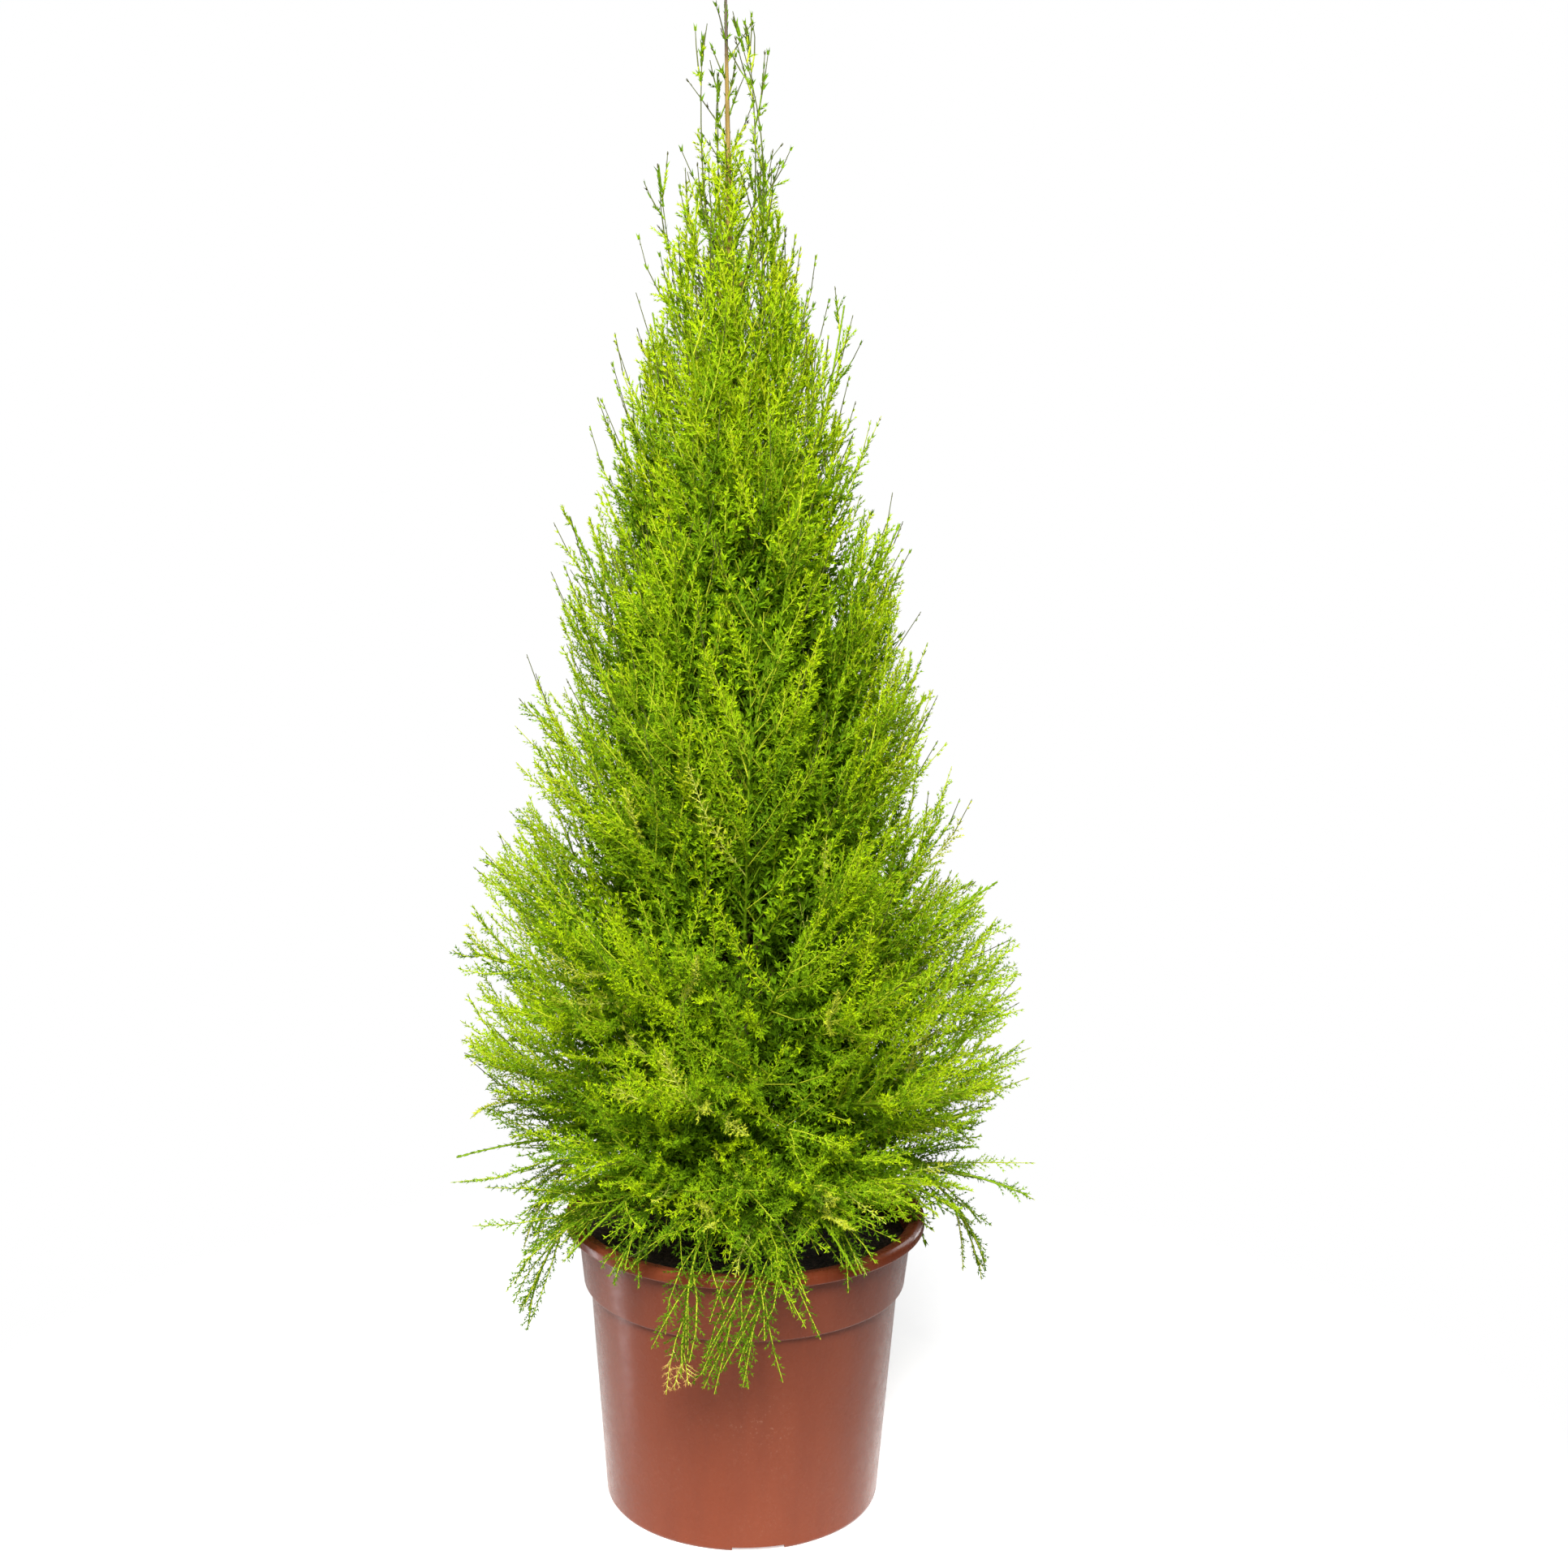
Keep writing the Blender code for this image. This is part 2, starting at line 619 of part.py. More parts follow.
def try_blade(index, plume, crown, k, t, lean, size):
    """The longest blade at t that keeps to the plume's space and touches nothing, or None."""
    root, along = plume.point(t), plume.slope(t)
    facing = plume.side - along * plume.side.dot(along)
    spread = math.radians(mixed(BLADE_SPREAD_LEVEL, BLADE_SPREAD, min(1.0, 2.0 * facing.length)))
    facing = facing.normalized() if facing.length > 0.05 else frame_across(along)[0]
    other = along.cross(facing)
    tilt = math.radians(lean)
    best, longest = None, 0.0
    for attempt in range(BLADE_TURNS):
        turn = spread * (2.0 * ((GOLDEN_SHARE * (k + BLADE_TURN_STEP * attempt)) % 1.0) - 1.0)
        across = facing * math.cos(turn) + other * math.sin(turn)
        heading = along * math.cos(tilt) + across * math.sin(tilt)
        roll = math.radians(BLADE_ROLL) * math.sin(BLADE_ROLL_STEP * k + attempt)
        flat = facing.cross(heading).normalized()
        flat = flat * math.cos(roll) + heading.cross(flat) * math.sin(roll)
        for share in BLADE_TRIES:
            if size * share <= longest:
                break
            placing = (root, heading, flat, size * share, BLADE_DROOP if k else 0.0)
            tested = place_blade(*placing, BLADE_TEST_SWELL)
            if crown.keeps_to_space(index, *tested) and crown.is_free(*tested):
                best, longest = place_blade(*placing), size * share
                break
    return best


def fuse(name, pieces, finish):
    """One closed solid from the stem, its core and its blades. Where edges only touch, a hair's growth frees them."""
    for attempt in range(FUSE_TRIES):
        tools = new_tools(name + "_pieces")
        mass = add_object(name, *pieces[0], finish)
        for vertices, faces in pieces[1:]:
            grown = [mixed(vertices[0], vertex, 1.0 + FUSE_GROWTH * attempt) for vertex in vertices]
            add_object(name + "_piece", grown, faces, finish, tools)
        for thing in [mass, *tools.objects]:
            face_outwards(thing.data)
        boolean(mass, tools, "UNION", "MANIFOLD")
        if keep_largest_shell(mass.data):
            break
        bpy.data.objects.remove(mass)
    return mass


def face_outwards(mesh):
    shape = bmesh.new()
    shape.from_mesh(mesh)
    bmesh.ops.recalc_face_normals(shape, faces=shape.faces)
    if shape.calc_volume(signed=True) < 0:
        bmesh.ops.reverse_faces(shape, faces=shape.faces)
    shape.to_mesh(mesh)
    shape.free()


def keep_largest_shell(mesh):
    """Drops loose scraps and fills sealed hollows by keeping the shell with the most faces. True if no edges touch."""
    shape = bmesh.new()
    shape.from_mesh(mesh)
    bmesh.ops.triangulate(shape, faces=shape.faces)
    unseen, shells = set(shape.faces), []
    while unseen:
        shell, front = set(), [unseen.pop()]
        while front:
            face = front.pop()
            shell.add(face)
            near = {other for edge in face.edges for other in edge.link_faces} & unseen
            unseen -= near
            front += near
        shells.append(shell)
    shells.sort(key=len)
    spare = [face for shell in shells[:-1] for face in shell]
    bmesh.ops.delete(shape, geom=spare, context="FACES")
    shape.to_mesh(mesh)
    bmesh.ops.remove_doubles(shape, verts=shape.verts, dist=TOUCHING)
    closed = all(len(edge.link_faces) == 2 for edge in shape.edges)
    shape.free()
    return closed


def solid_of(thing):
    return [tuple(v.co) for v in thing.data.vertices], [tuple(p.vertices) for p in thing.data.polygons]


def main():
    clear_scene()
    foliage = material("foliage", FOLIAGE, 0.55)
    bark = material("bark", BARK, 0.85)
    pot = make_pot(material("terracotta_plastic", TERRACOTTA, 0.42))
    soil = make_soil(material("soil", SOIL, 0.95))
    trunk = make_trunk(bark)
    plumes = plan_plumes(trunk)
    limbs = [pot, soil, trunk] + [make_bough(plume, bark) for plume in plumes if plume.bough]
    crown = Crown(plumes, [solid_of(limb) for limb in limbs])
    dice = random.Random(SEED + 1)
    for index, plume in enumerate(plumes):
        crown.take(grow_mass(index, plume, crown, foliage, dice))


main()
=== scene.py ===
"""The looks of a golden conical cypress in its terracotta-coloured plastic pot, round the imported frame.

Metres, +Z up. The origin is the centre of the pot's flat underside. -Y faces the viewer and +X is to the
right. The crown grows by the rule of the part's source: tiers of plumes arch from the trunk, and side
shoots stand round each plume by the golden share. Here more plumes grow between the source's own ones,
within the same reach, and the rule goes on: side shoots bear twigs, and twigs bear whorls of needles.
"""

import json
import math
import random
from collections import namedtuple

import bpy
import numpy as np
from mathutils import Matrix, Vector, noise

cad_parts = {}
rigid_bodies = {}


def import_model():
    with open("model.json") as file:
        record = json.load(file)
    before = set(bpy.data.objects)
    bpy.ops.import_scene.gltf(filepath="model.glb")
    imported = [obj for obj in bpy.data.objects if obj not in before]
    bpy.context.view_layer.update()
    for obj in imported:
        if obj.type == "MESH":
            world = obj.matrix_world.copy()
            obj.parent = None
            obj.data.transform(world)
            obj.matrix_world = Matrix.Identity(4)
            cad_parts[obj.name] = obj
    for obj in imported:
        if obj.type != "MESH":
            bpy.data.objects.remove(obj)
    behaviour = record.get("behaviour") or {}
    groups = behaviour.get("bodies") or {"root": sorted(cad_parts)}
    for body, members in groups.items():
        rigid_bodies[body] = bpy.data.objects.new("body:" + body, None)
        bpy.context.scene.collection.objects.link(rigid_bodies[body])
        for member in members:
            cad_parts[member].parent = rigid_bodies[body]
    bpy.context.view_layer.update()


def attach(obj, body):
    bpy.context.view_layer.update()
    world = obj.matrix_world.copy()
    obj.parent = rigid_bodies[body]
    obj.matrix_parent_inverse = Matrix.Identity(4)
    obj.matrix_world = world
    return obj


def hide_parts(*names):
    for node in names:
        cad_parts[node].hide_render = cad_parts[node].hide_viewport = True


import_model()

BODY = "root"

# Camera at the photograph's viewing angle, on the pot's -Y side
CAMERA_DISTANCE = 1.3872
CAMERA_HEIGHT = 0.7302
CAMERA_TURN = -0.894
CAMERA_PITCH = 10.073
CAMERA_ROLL = 0.831
CAMERA_LENS = 50.31

# Pot, as in the part's source, with finer rounding
POT_HEIGHT = 0.197
POT_BASE_RADIUS = 0.0914
POT_BODY_TOP_RADIUS = 0.1028
COLLAR_BOTTOM = 0.150
COLLAR_RADIUS = 0.1068
COLLAR_TOP_RADIUS = 0.1110
COLLAR_STEP = 0.0015
LIP_BOTTOM = 0.188
LIP_RADIUS = 0.1195
LIP_ROUND = 0.0035
POT_WALL = 0.0018
FLOOR_THICKNESS = 0.0022
FOOT_DEPTH = 0.0035
FOOT_WIDTH = 0.011
FOOT_ROUND = 0.0020
CENTRE_PAD_RADIUS = 0.030
NOTCH_COUNT = 4
NOTCH_WIDTH = 0.034
NOTCH_HEIGHT = 0.0030
NOTCH_AZIMUTH = -83.0
DRAIN_COUNT = 6
DRAIN_RADIUS = 0.005
DRAIN_CIRCLE = 0.060
DRAIN_SIDES = 24
POT_SIDES = 180
POT_WARP = 0.00035
CORNER_STEPS = 4
CORNER_CUT = 0.0011
SHARP_ANGLE = 42.0

# Soil. Each size of lump is (lumps per metre, share of the relief).
SOIL_LEVEL = 0.180
SOIL_FALL = 0.005
SOIL_GAP = 0.0022
SOIL_OFF_FLOOR = 0.0003
SOIL_OFF_BASE = 0.0012
SOIL_SHOULDER = (0.0055, 0.003)
SOIL_RINGS = 44
SOIL_SIDES = 150
SOIL_RELIEF = 0.0032
SOIL_LUMPS = ((55.0, 0.55), (140.0, 0.30), (390.0, 0.15))
CLOD_COUNT = 1300
CLOD_SIZES = (0.0007, 0.0030)
CLOD_CLEARANCE = 0.004
CLOD_LIFT = 0.3
CLOD_WIDTHS = (0.6, 1.0)
CLOD_HEIGHTS = (0.35, 0.8)
CLOD_PUSHES = (0.75, 1.15)
BARK_SHARE = 0.25
FIBRE_COUNT = 170
FIBRE_LENGTHS = (0.006, 0.020)
FIBRE_RADIUS = 0.00045
FIBRE_LIFT = 0.0006
FIBRE_CLEARANCE = 0.003

# Trunk, from the soil to the leader's tip
TREE_HEIGHT = 0.965
TRUNK_LEAN = -0.0205
TRUNK_SWAY = 0.0025
TRUNK_FOOT_RADIUS = 0.0085
TRUNK_TIP_RADIUS = 0.0008
TRUNK_TAPER = 0.85
FLARE_RADIUS = 0.0165
FLARE_HEIGHT = 0.020
FLARE_LOBES = 4
FLARE_LOBE_DEPTH = 0.25
TRUNK_SIDES = 32
TRUNK_RINGS = 300
TRUNK_SUNK = 0.002
RING_CROWDING = 1.25
BARK_RELIEF = 0.11
RIDGES_AROUND = 4.0
RIDGES_UP = 60.0
RIDGE_MEAN = 0.6

# Crown: (height, distance of the furthest tips from the trunk's axis), as in the part's source
CROWN_PROFILE = (
    (0.110, 0.150),
    (0.160, 0.168),
    (0.210, 0.194),
    (0.300, 0.194),
    (0.410, 0.188),
    (0.470, 0.156),
    (0.600, 0.126),
    (0.700, 0.100),
    (0.800, 0.074),
    (0.900, 0.040),
    (0.955, 0.022),
    (0.965, 0.010),
)
LOWEST_TIP = 0.110
RIM_CLEARANCE = 0.0012

# Tiers of plumes, as in the part's source. start is the height on the trunk, tip the height of the plume's
# tip and reach its share of the crown's profile there. leave is the angle from the vertical at the trunk,
# and bend the share of the way to the tip at which the plume turns. bare is the leafless share, and blade
# the side shoots' length.
Tier = namedtuple("Tier", "name azimuths start tip reach leave bend bough bare blade")
TIERS = (
    Tier("skirt", (258, 214, 4, 60, 112, 158), 0.212, 0.150, 0.97, 66, 0.84, False, 0.28, 0.074),
    Tier("low", (340, 290, 234, 180, 122, 50), 0.228, 0.226, 1.00, 68, 0.50, True, 0.26, 0.100),
    Tier("lower", (312, 260, 206, 150, 88, 14), 0.254, 0.322, 0.99, 62, 0.48, True, 0.24, 0.102),
    Tier("middle", (284, 344, 40, 106, 168, 228), 0.296, 0.424, 0.97, 46, 0.46, False, 0.12, 0.102),
    Tier("upper", (256, 322, 24, 110, 190), 0.370, 0.545, 0.96, 34, 0.44, False, 0.10, 0.098),
    Tier("high", (290, 8, 92, 198), 0.455, 0.660, 0.95, 27, 0.42, False, 0.10, 0.092),
    Tier("higher", (254, 348, 132), 0.555, 0.775, 0.92, 22, 0.42, False, 0.10, 0.080),
    Tier("top", (300, 170), 0.665, 0.872, 0.88, 18, 0.42, False, 0.10, 0.062),
    Tier("leader", (40, 220), 0.780, 0.946, 0.72, 20, 0.42, False, 0.08, 0.044),
)
AZIMUTH_JITTER = 4.0
HEIGHT_JITTER = 0.010
REACH_JITTER = 0.03
SEED = 4
BOUGH_RADIUS = 0.0040
BOUGH_SIDES = 8
BOUGH_SEGMENTS = 8
STEM_RADIUS = 0.0013
BARE_STEM_RADIUS = 1.4 * STEM_RADIUS
THIN_STEM_RADIUS = 0.5 * STEM_RADIUS
STEM_TAPER = 0.4
STEM_SIDES = 5
STEM_SEGMENTS = 10
BLADE_LEAN = 50.0
BLADE_LEAN_TIP = 26.0
BLADE_LEAN_JITTER = 7.0
BLADE_SIZE_JITTER = 0.16
BLADE_SHORTENING = 0.22
GOLDEN_SHARE = 0.618

# Plumes between the source's own ones: some of the same tier, and others part of the way to the next one
SISTER_SHARES = (0.0, 0.33, 0.67)
SPARSE_TIERS = 2
SISTER_AZIMUTH_JITTER = 12.0
SISTER_START_JITTER = 0.030
SISTER_TIP_JITTER = 0.024
SISTER_REACH = (0.82, 1.0)
SISTER_SWING = 0.024
HIGHEST_TIP = TREE_HEIGHT - 0.006

# More plumes of the skirt: (azimuth, share of the reach, height of the tip)
SKIRT_SISTERS = (
    (238, 0.76, 0.205), (281, 0.70, 0.212), (350, 0.70, 0.180), (32, 0.96, 0.160), (86, 0.97, 0.150),
    (136, 0.96, 0.160), (186, 0.80, 0.185), (222, 0.74, 0.212), (250, 0.62, 0.222), (300, 0.70, 0.212),
    (268, 0.50, 0.226), (290, 0.52, 0.230), (240, 0.50, 0.230),
)

# Plumes beside the first one of the skirt, which hang over the rim with it and fall to the left
HANGING_SISTERS = ((263, 0.94, 0.152), (270, 0.92, 0.166))
HANGING_SWING = 0.040

# Short plumes of the low tier in front of the trunk's foot
FRONT_PLUMES = (
    (262, 0.76, 0.240), (278, 0.66, 0.252), (294, 0.76, 0.238), (247, 0.70, 0.254), (308, 0.70, 0.246),
    (270, 0.84, 0.264), (286, 0.86, 0.268),
)

# Short plumes near the trunk, which fill the shaded inside of the crown. A table of nine values has one
# for each tier.
INNER_ROUNDS = (0, 3, 3, 2, 2, 2, 2, 0, 0)
INNER_TURN = 40.0
INNER_REACH = (0.36, 0.66)
INNER_RISE = 0.045
INNER_RISES = (0.3, 1.0)
INNER_LEAVE = 0.7
SHORT_BARE = 0.05
SHORT_BLADE = 0.8

# Shoots on the trunk itself: whips near its tip, and dense sprays. heights and lengths are those of the
# lowest shoot and the highest, and turned is the lowest one's azimuth.
LeaderShoots = namedtuple("LeaderShoots", "count heights lengths leans turned")
LEADER_WHIPS = LeaderShoots(18, (0.745, 0.944), (0.076, 0.022), (26.0, 46.0), 60.0)
LEADER_SPRAYS = LeaderShoots(64, (0.660, 0.865), (0.062, 0.026), (12.0, 26.0), 0.0)
LEADER_SIZES = (0.7, 1.2)
LEADER_ARCH = (0.6, 1.6)
LEADER_WANDER = 0.12
LEADER_TOP = TREE_HEIGHT - 0.004

# Side shoots of a plume, again with a value for each tier in a table of nine
SHOOT_SPACINGS = (0.0112, 0.0068, 0.0068, 0.0072, 0.0076, 0.0082, 0.0095, 0.0130, 0.0180)
SHOOT_SPREAD = 140.0
SHOOT_LEANS = (0.60, 0.85, 1.0, 1.0, 1.0, 1.0, 1.0, 1.0, 0.9)
SHOOT_CURL = (0.50, 0.42, 0.40, 0.44, 0.52, 0.58, 0.60, 0.60, 0.60)
SHOOT_RISE = (-0.34, 0.10, 0.52, 0.74, 0.74, 0.62, 0.48, 0.34, 0.22)
SHOOT_WANDER = (0.30, 0.28, 0.25, 0.21, 0.17, 0.15, 0.15, 0.15, 0.15)
SHOOT_CROWDING = 0.80
SHOOT_TO = 0.985
SHOOT_TIP_SIZE = 0.24
SHOOT_TIP_TAPER = 0.34
SHOOT_TRIES = (1.0, 0.86, 0.74, 0.62, 0.50, 0.36)
SHORTEST_HALF = 0.004
SHOOT_SIDES = 3
SHOOT_SEGMENTS = 3
ROW_SHIFT = 0.37
UP_SHARE = 0.5
LENGTH_STEPS = 8
YELLOWED_SHARE = 0.06
YELLOWED_TIERS = 3

# The share of the crown's profile that the dense shoots reach, by height. Whips reach all of it.
DENSE_REACH = (
    (0.11, 0.80),
    (0.20, 0.80),
    (0.25, 0.84),
    (0.30, 0.93),
    (0.36, 1.00),
    (0.41, 0.95),
    (0.52, 0.90),
    (0.63, 0.86),
    (0.70, 0.78),
    (0.80, 0.62),
    (0.86, 0.48),
    (0.965, 0.38),
)

# Below HANG_LIMIT only the source's skirt plumes and those beside the first one hang. The first one's tip,
# below DEAD_BELOW, is dead.
HANG_LIMIT = 0.192
DEAD_BELOW = 0.158

# From OPEN_FROM up the crown grows too thin for a shaded inside, and from OPEN_TO up it has none
OPEN_FROM = 0.50
OPEN_TO = 0.76

# Whips: shoots near the outline that end in a bare twig with tufts of needles, dark at the tip. From
# LAST_TUFT on the needles aren't thinned out.
WHIP_PLACE = 0.75
WHIP_SHARES = (0.08, 0.20, 0.24, 0.30, 0.34, 0.38, 0.45, 0.70, 1.0)
WHIP_STARTS = (0.80, 0.80, 0.80, 0.78, 0.74, 0.66, 0.56, 0.36, 0.16)
WHIP_START_SPREAD = (0.8, 1.2)
WHIP_SIZE = 1.18
WHIP_TWIG = 0.55
WHIP_TWIG_LEAN = 12.0
WHIP_TWIG_STEP = 6
TUFT_STEP = 0.0110
TUFT_SHARE = 0.20
LAST_TUFT = 0.9
TUFT_SIZES = (1.0, 1.1, 1.2, 1.2, 1.4, 1.6, 1.8, 2.0, 2.1)
DARK_SIZE = 0.55
DARK_TIP = 0.0035
DARK_SHARE = 0.45
NEVER = 9.0

# The notch in the right side, over the sprays that stand out furthest: (height, share of the reach)
NOTCH = ((0.395, 1.0), (0.415, 0.84), (0.460, 0.84), (0.480, 1.0))
NOTCH_HALF = 50.0

# The cleft in front, where the plumes part: (height, azimuth), then its half width in degrees
CLEFT = ((0.30, 286.0), (0.36, 281.0), (0.42, 278.0), (0.68, 278.0))
CLEFT_HALF = 8.0
CLEFT_FROM = 0.35
CLEFT_CLEARED = 0.94

# Twigs of a side shoot, in a row on each side with every fifth one facing out. They get longer from its
# foot on, and then shorter to its tip.
TWIG_SPACING = 0.0028
TWIG_LENGTHS = (0.0084, 0.0096, 0.0104, 0.0104, 0.0102, 0.0100, 0.0096, 0.0090, 0.0084)
TWIG_LONGEST = 0.42
TWIG_FOOT_SIZE = 0.60
TWIG_WIDENING = 1.8
TWIG_NARROWING = 1.15
TWIG_ROUNDING = 0.7
TWIG_TIP_SIZE = 0.20
TWIG_FROM = 0.06
TWIG_TO = 0.97
TWIG_LEAN = 50.0
TWIG_LEAN_TIP = 34.0
TWIG_LEAN_JITTER = 6.0
TWIG_TURN_JITTER = 11.0
TWIG_OUT_STEP = 5
TWIG_OUT_JITTER = 40.0
TWIG_SIZES = (0.70, 1.15)
TWIG_RISE = 0.06
TWIG_WANDER = 0.07
TWIG_OVERREACH = 0.003
TWIG_RADIUS = 0.00038
SPIKE_ANGLES = (0.0, 2.1, 4.2)
SPIKE_SIDES = len(SPIKE_ANGLES)
SHOOT_RADIUS = 0.00062
SHOOT_TIP_RADIUS = 0.00026

# Needles, in whorls. NEEDLED says how each kind of line bears them: from a first share to a last one, with
# a spacing and a size.
NEEDLE_LENGTH = 0.0030
NEEDLE_WIDTH = 0.00098
NEEDLE_SPACING = 0.0021
NEEDLE_SIZES = (0.78, 1.15)
NEEDLE_TAPER = 0.25
NEEDLES_PER_WHORL = 3
NEEDLE_LEANS = ((0.30, 50.0), (0.55, 44.0), (0.75, 30.0))
NEEDLE_LEAN_TIP = 18.0
NEEDLE_LEAN_CURVE = 2.5
NEEDLE_LEAN_JITTER = 7.0
NEEDLE_TURN_JITTER = 0.25
NEEDLED = {
    "twigs": (0.10, 0.99, 1.0, 1.0),
    "shoots": (0.04, 0.99, 1.9, 0.9),
    "stems": (0.35, 0.995, 1.2, 1.1),
}
SKIRT_SIZE = 0.95
HIGH_SIZE = 0.2
PIECE_LIMIT = 195000

# Inside the crown, from INNER_FROM of its reach down to INNER_TO, twigs and needles get fewer and larger
INNER_FROM = 0.70
INNER_TO = 0.40
INNER_TWIG_SPACING = 1.4
INNER_TWIG_LENGTH = 0.5
INNER_NEEDLE_SPACING = 1.8
INNER_NEEDLE_LENGTH = 1.3
INNER_NEEDLE_WIDTH = 2.0

# Tones of the foliage, from the shaded inside to the sunlit tips, then yellowed and dead sprays
TONES = {
    "shade": (0.085, 0.180, 0.005),
    "deep": (0.150, 0.300, 0.007),
    "green": (0.250, 0.440, 0.008),
    "fresh": (0.380, 0.585, 0.008),
    "lime": (0.510, 0.700, 0.007),
    "gold": (0.530, 0.640, 0.009),
    "yellow": (0.620, 0.680, 0.045),
    "tan": (0.480, 0.270, 0.090),
    "dark": (0.090, 0.085, 0.030),
}
GOLD, YELLOW, TAN, DARK = 5, 6, 7, 8
LIGHT_THROUGH = 0.30

# A spray's tone is a sum: FIRST_TONE, and the others by its place in the crown and on its shoot. The
# LIT_TONE part is painted shade, darker the nearer a spray is to the trunk. LOW_TONE darkens sprays
# towards the bottom of the crown.
FIRST_TONE = -1.35
LIT_TONE = 4.2
FULLY_LIT = 0.86
EDGE_FROM = 0.85
EDGE_TONE = -1.3
LOW_FROM = 0.33
LOW_SPAN = 0.16
LOW_TONE = -1.2
HIGH_FROM = 0.50
HIGH_SPAN = 0.30
HIGH_TONE = 0.5
PLACE_TONE = 1.7
HUE_TONE = 0.85
WHIP_TONE = -2.5
SKIRT_TONE = -1.4
TONE_JITTER = 0.15
TONED_AT = 0.6

# Colours of twigs, shoots and stems
WOODS = {
    "twigs_green": (0.32, 0.46, 0.010),
    "shoots_yellow_green": (0.48, 0.56, 0.030),
    "whips_olive": (0.110, 0.130, 0.030),
    "shoots_golden": (0.58, 0.64, 0.11),
    "twigs_mid_green": (0.20, 0.33, 0.010),
    "twigs_deep_green": (0.095, 0.185, 0.007),
}
GREEN, PALE, OLIVE, GOLDEN, MID, DEEP = range(6)
# A twig's colour follows its spray's tone, so twigs in painted shade are a darker green
TWIG_BY_TONE = (DEEP, DEEP, MID, GREEN, GREEN, GREEN, GREEN)

# Studio
FLOOR_RADIUS = 0.6
FLOOR_FADE = 0.13
FLOOR_SIDES = 64
DOME_RADIUS = 8.0
DOME_RINGS = 24
DOME_SIDES = 48

# The sky's light, from the first value at the first height of the view to the last one at the last
SKY_HEIGHTS = (-0.25, 0.9)
SKY_LIGHT = (0.28, 1.15)

# Area lights: name, place, target, size, power and colour
LIGHTS = (
    ("key", (-0.2, -2.2, 2.3), (0, 0, 0.45), (1.2, 1.2), 194.0, (1.0, 0.985, 0.95)),
    ("strip_left", (-1.35, 0.34, -0.2), (0, 0, 0.1), (0.14, 1.3), 12.0, (0.93, 0.95, 1.0)),
    ("strip_right", (1.1, 1.05, 0.6), (0, 0, 0.3), (0.22, 1.5), 14.0, (0.97, 0.98, 1.0)),
)


# Small helpers
UP = np.array((0.0, 0.0, 1.0))


def outward(azimuth):
    """The level direction at an azimuth in degrees, counted from +X towards +Y."""
    a = math.radians(azimuth)
    return Vector((math.cos(a), math.sin(a), 0.0))


def along_points(points, x):
    """The value at x, or at each x of an array, on a line through (x, value) points."""
    return np.interp(x, [p[0] for p in points], [p[1] for p in points])


def mixed(first, last, share):
    return first + (last - first) * share


def ramp(value, start, span):
    """How far a value has come from start to start + span, from 0 to 1."""
    return np.clip((value - start) / span, 0.0, 1.0)


def unit(vectors):
    return vectors / np.maximum(np.linalg.norm(vectors, axis=-1, keepdims=True), 1e-12)


def dot(first, second):
    return (first * second).sum(-1, keepdims=True)


def placed(name, data):
    """A new object in the scene."""
    made = bpy.data.objects.new(name, data)
    bpy.context.scene.collection.objects.link(made)
    return made


def add_object(name, mesh, replaced=()):
    made = placed(name, mesh)
    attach(made, BODY)
    if replaced:
        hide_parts(*replaced)


def add_arrays(name, slot, points, faces, finishes, tones=None, smooth=False, replaced=()):
    """A piece made of an array of points and one of triangles or quads, with one finish for each tone."""
    mesh = bpy.data.meshes.new(name)
    mesh.vertices.add(len(points))
    mesh.vertices.foreach_set("co", points.astype(np.float32).ravel())
    mesh.loops.add(faces.size)
    mesh.loops.foreach_set("vertex_index", faces.astype(np.int32).ravel())
    mesh.polygons.add(len(faces))
    mesh.polygons.foreach_set("loop_start", np.arange(len(faces), dtype=np.int32) * faces.shape[1])
    for finish in finishes:
        mesh.materials.append(finish)
    if tones is not None:
        mesh.polygons.foreach_set("material_index", tones.astype(np.int32))
    mesh.polygons.foreach_set("use_smooth", np.full(len(faces), smooth))
    mesh.update(calc_edges=True)
    add_object(name, mesh, replaced)


# Materials
class Finish:
    """A material and its node tree, with one short call for each kind of node."""

    def __init__(self, name):
        self.material = bpy.data.materials.new(name)
        self.material.use_nodes = True
        self.tree = self.material.node_tree
        self.shader = self.tree.nodes["Principled BSDF"]
        self.place = self.tree.nodes.new("ShaderNodeTexCoord").outputs["Object"]

    def feed(self, socket, value):
        """Links a socket, or sets its value. A colour is three numbers."""
        if isinstance(value, bpy.types.NodeSocket):
            self.tree.links.new(value, socket)
        else:
            socket.default_value = (*value, 1.0) if socket.type == "RGBA" else value

    def node(self, kind, inputs, **settings):
        made = self.tree.nodes.new("ShaderNode" + kind)
        for key, value in settings.items():
            setattr(made, key, value)
        for key, value in inputs.items():
            self.feed(made.inputs[key], value)
        return made

    def noise(self, scale, detail=2.0, stretch=None):
        """A noise value from 0 to 1, scale being its features per metre."""
        place = self.place
        if stretch:
            place = self.node("Mapping", {"Vector": place, "Scale": stretch}).outputs["Vector"]
        return self.node("TexNoise", {"Vector": place, "Scale": scale, "Detail": detail}).outputs["Fac"]

    def ranged(self, value, low, high, to_low=0.0, to_high=1.0):
        inputs = {"Value": value, "From Min": low, "From Max": high, "To Min": to_low, "To Max": to_high}
        return self.node("MapRange", inputs).outputs["Result"]

    def blend(self, share, first, last):
        """A mix of two colours, each a colour or a socket."""
        return self.node("Mix", {0: share, 6: first, 7: last}, data_type="RGBA").outputs[2]

    def set(self, **values):
        for name, value in values.items():
            self.feed(self.shader.inputs[name.replace("_", " ")], value)

    def bump(self, height, depth, strength=1.0):
        made = self.node("Bump", {"Height": height, "Distance": depth, "Strength": strength})
        self.set(Normal=made.outputs["Normal"])


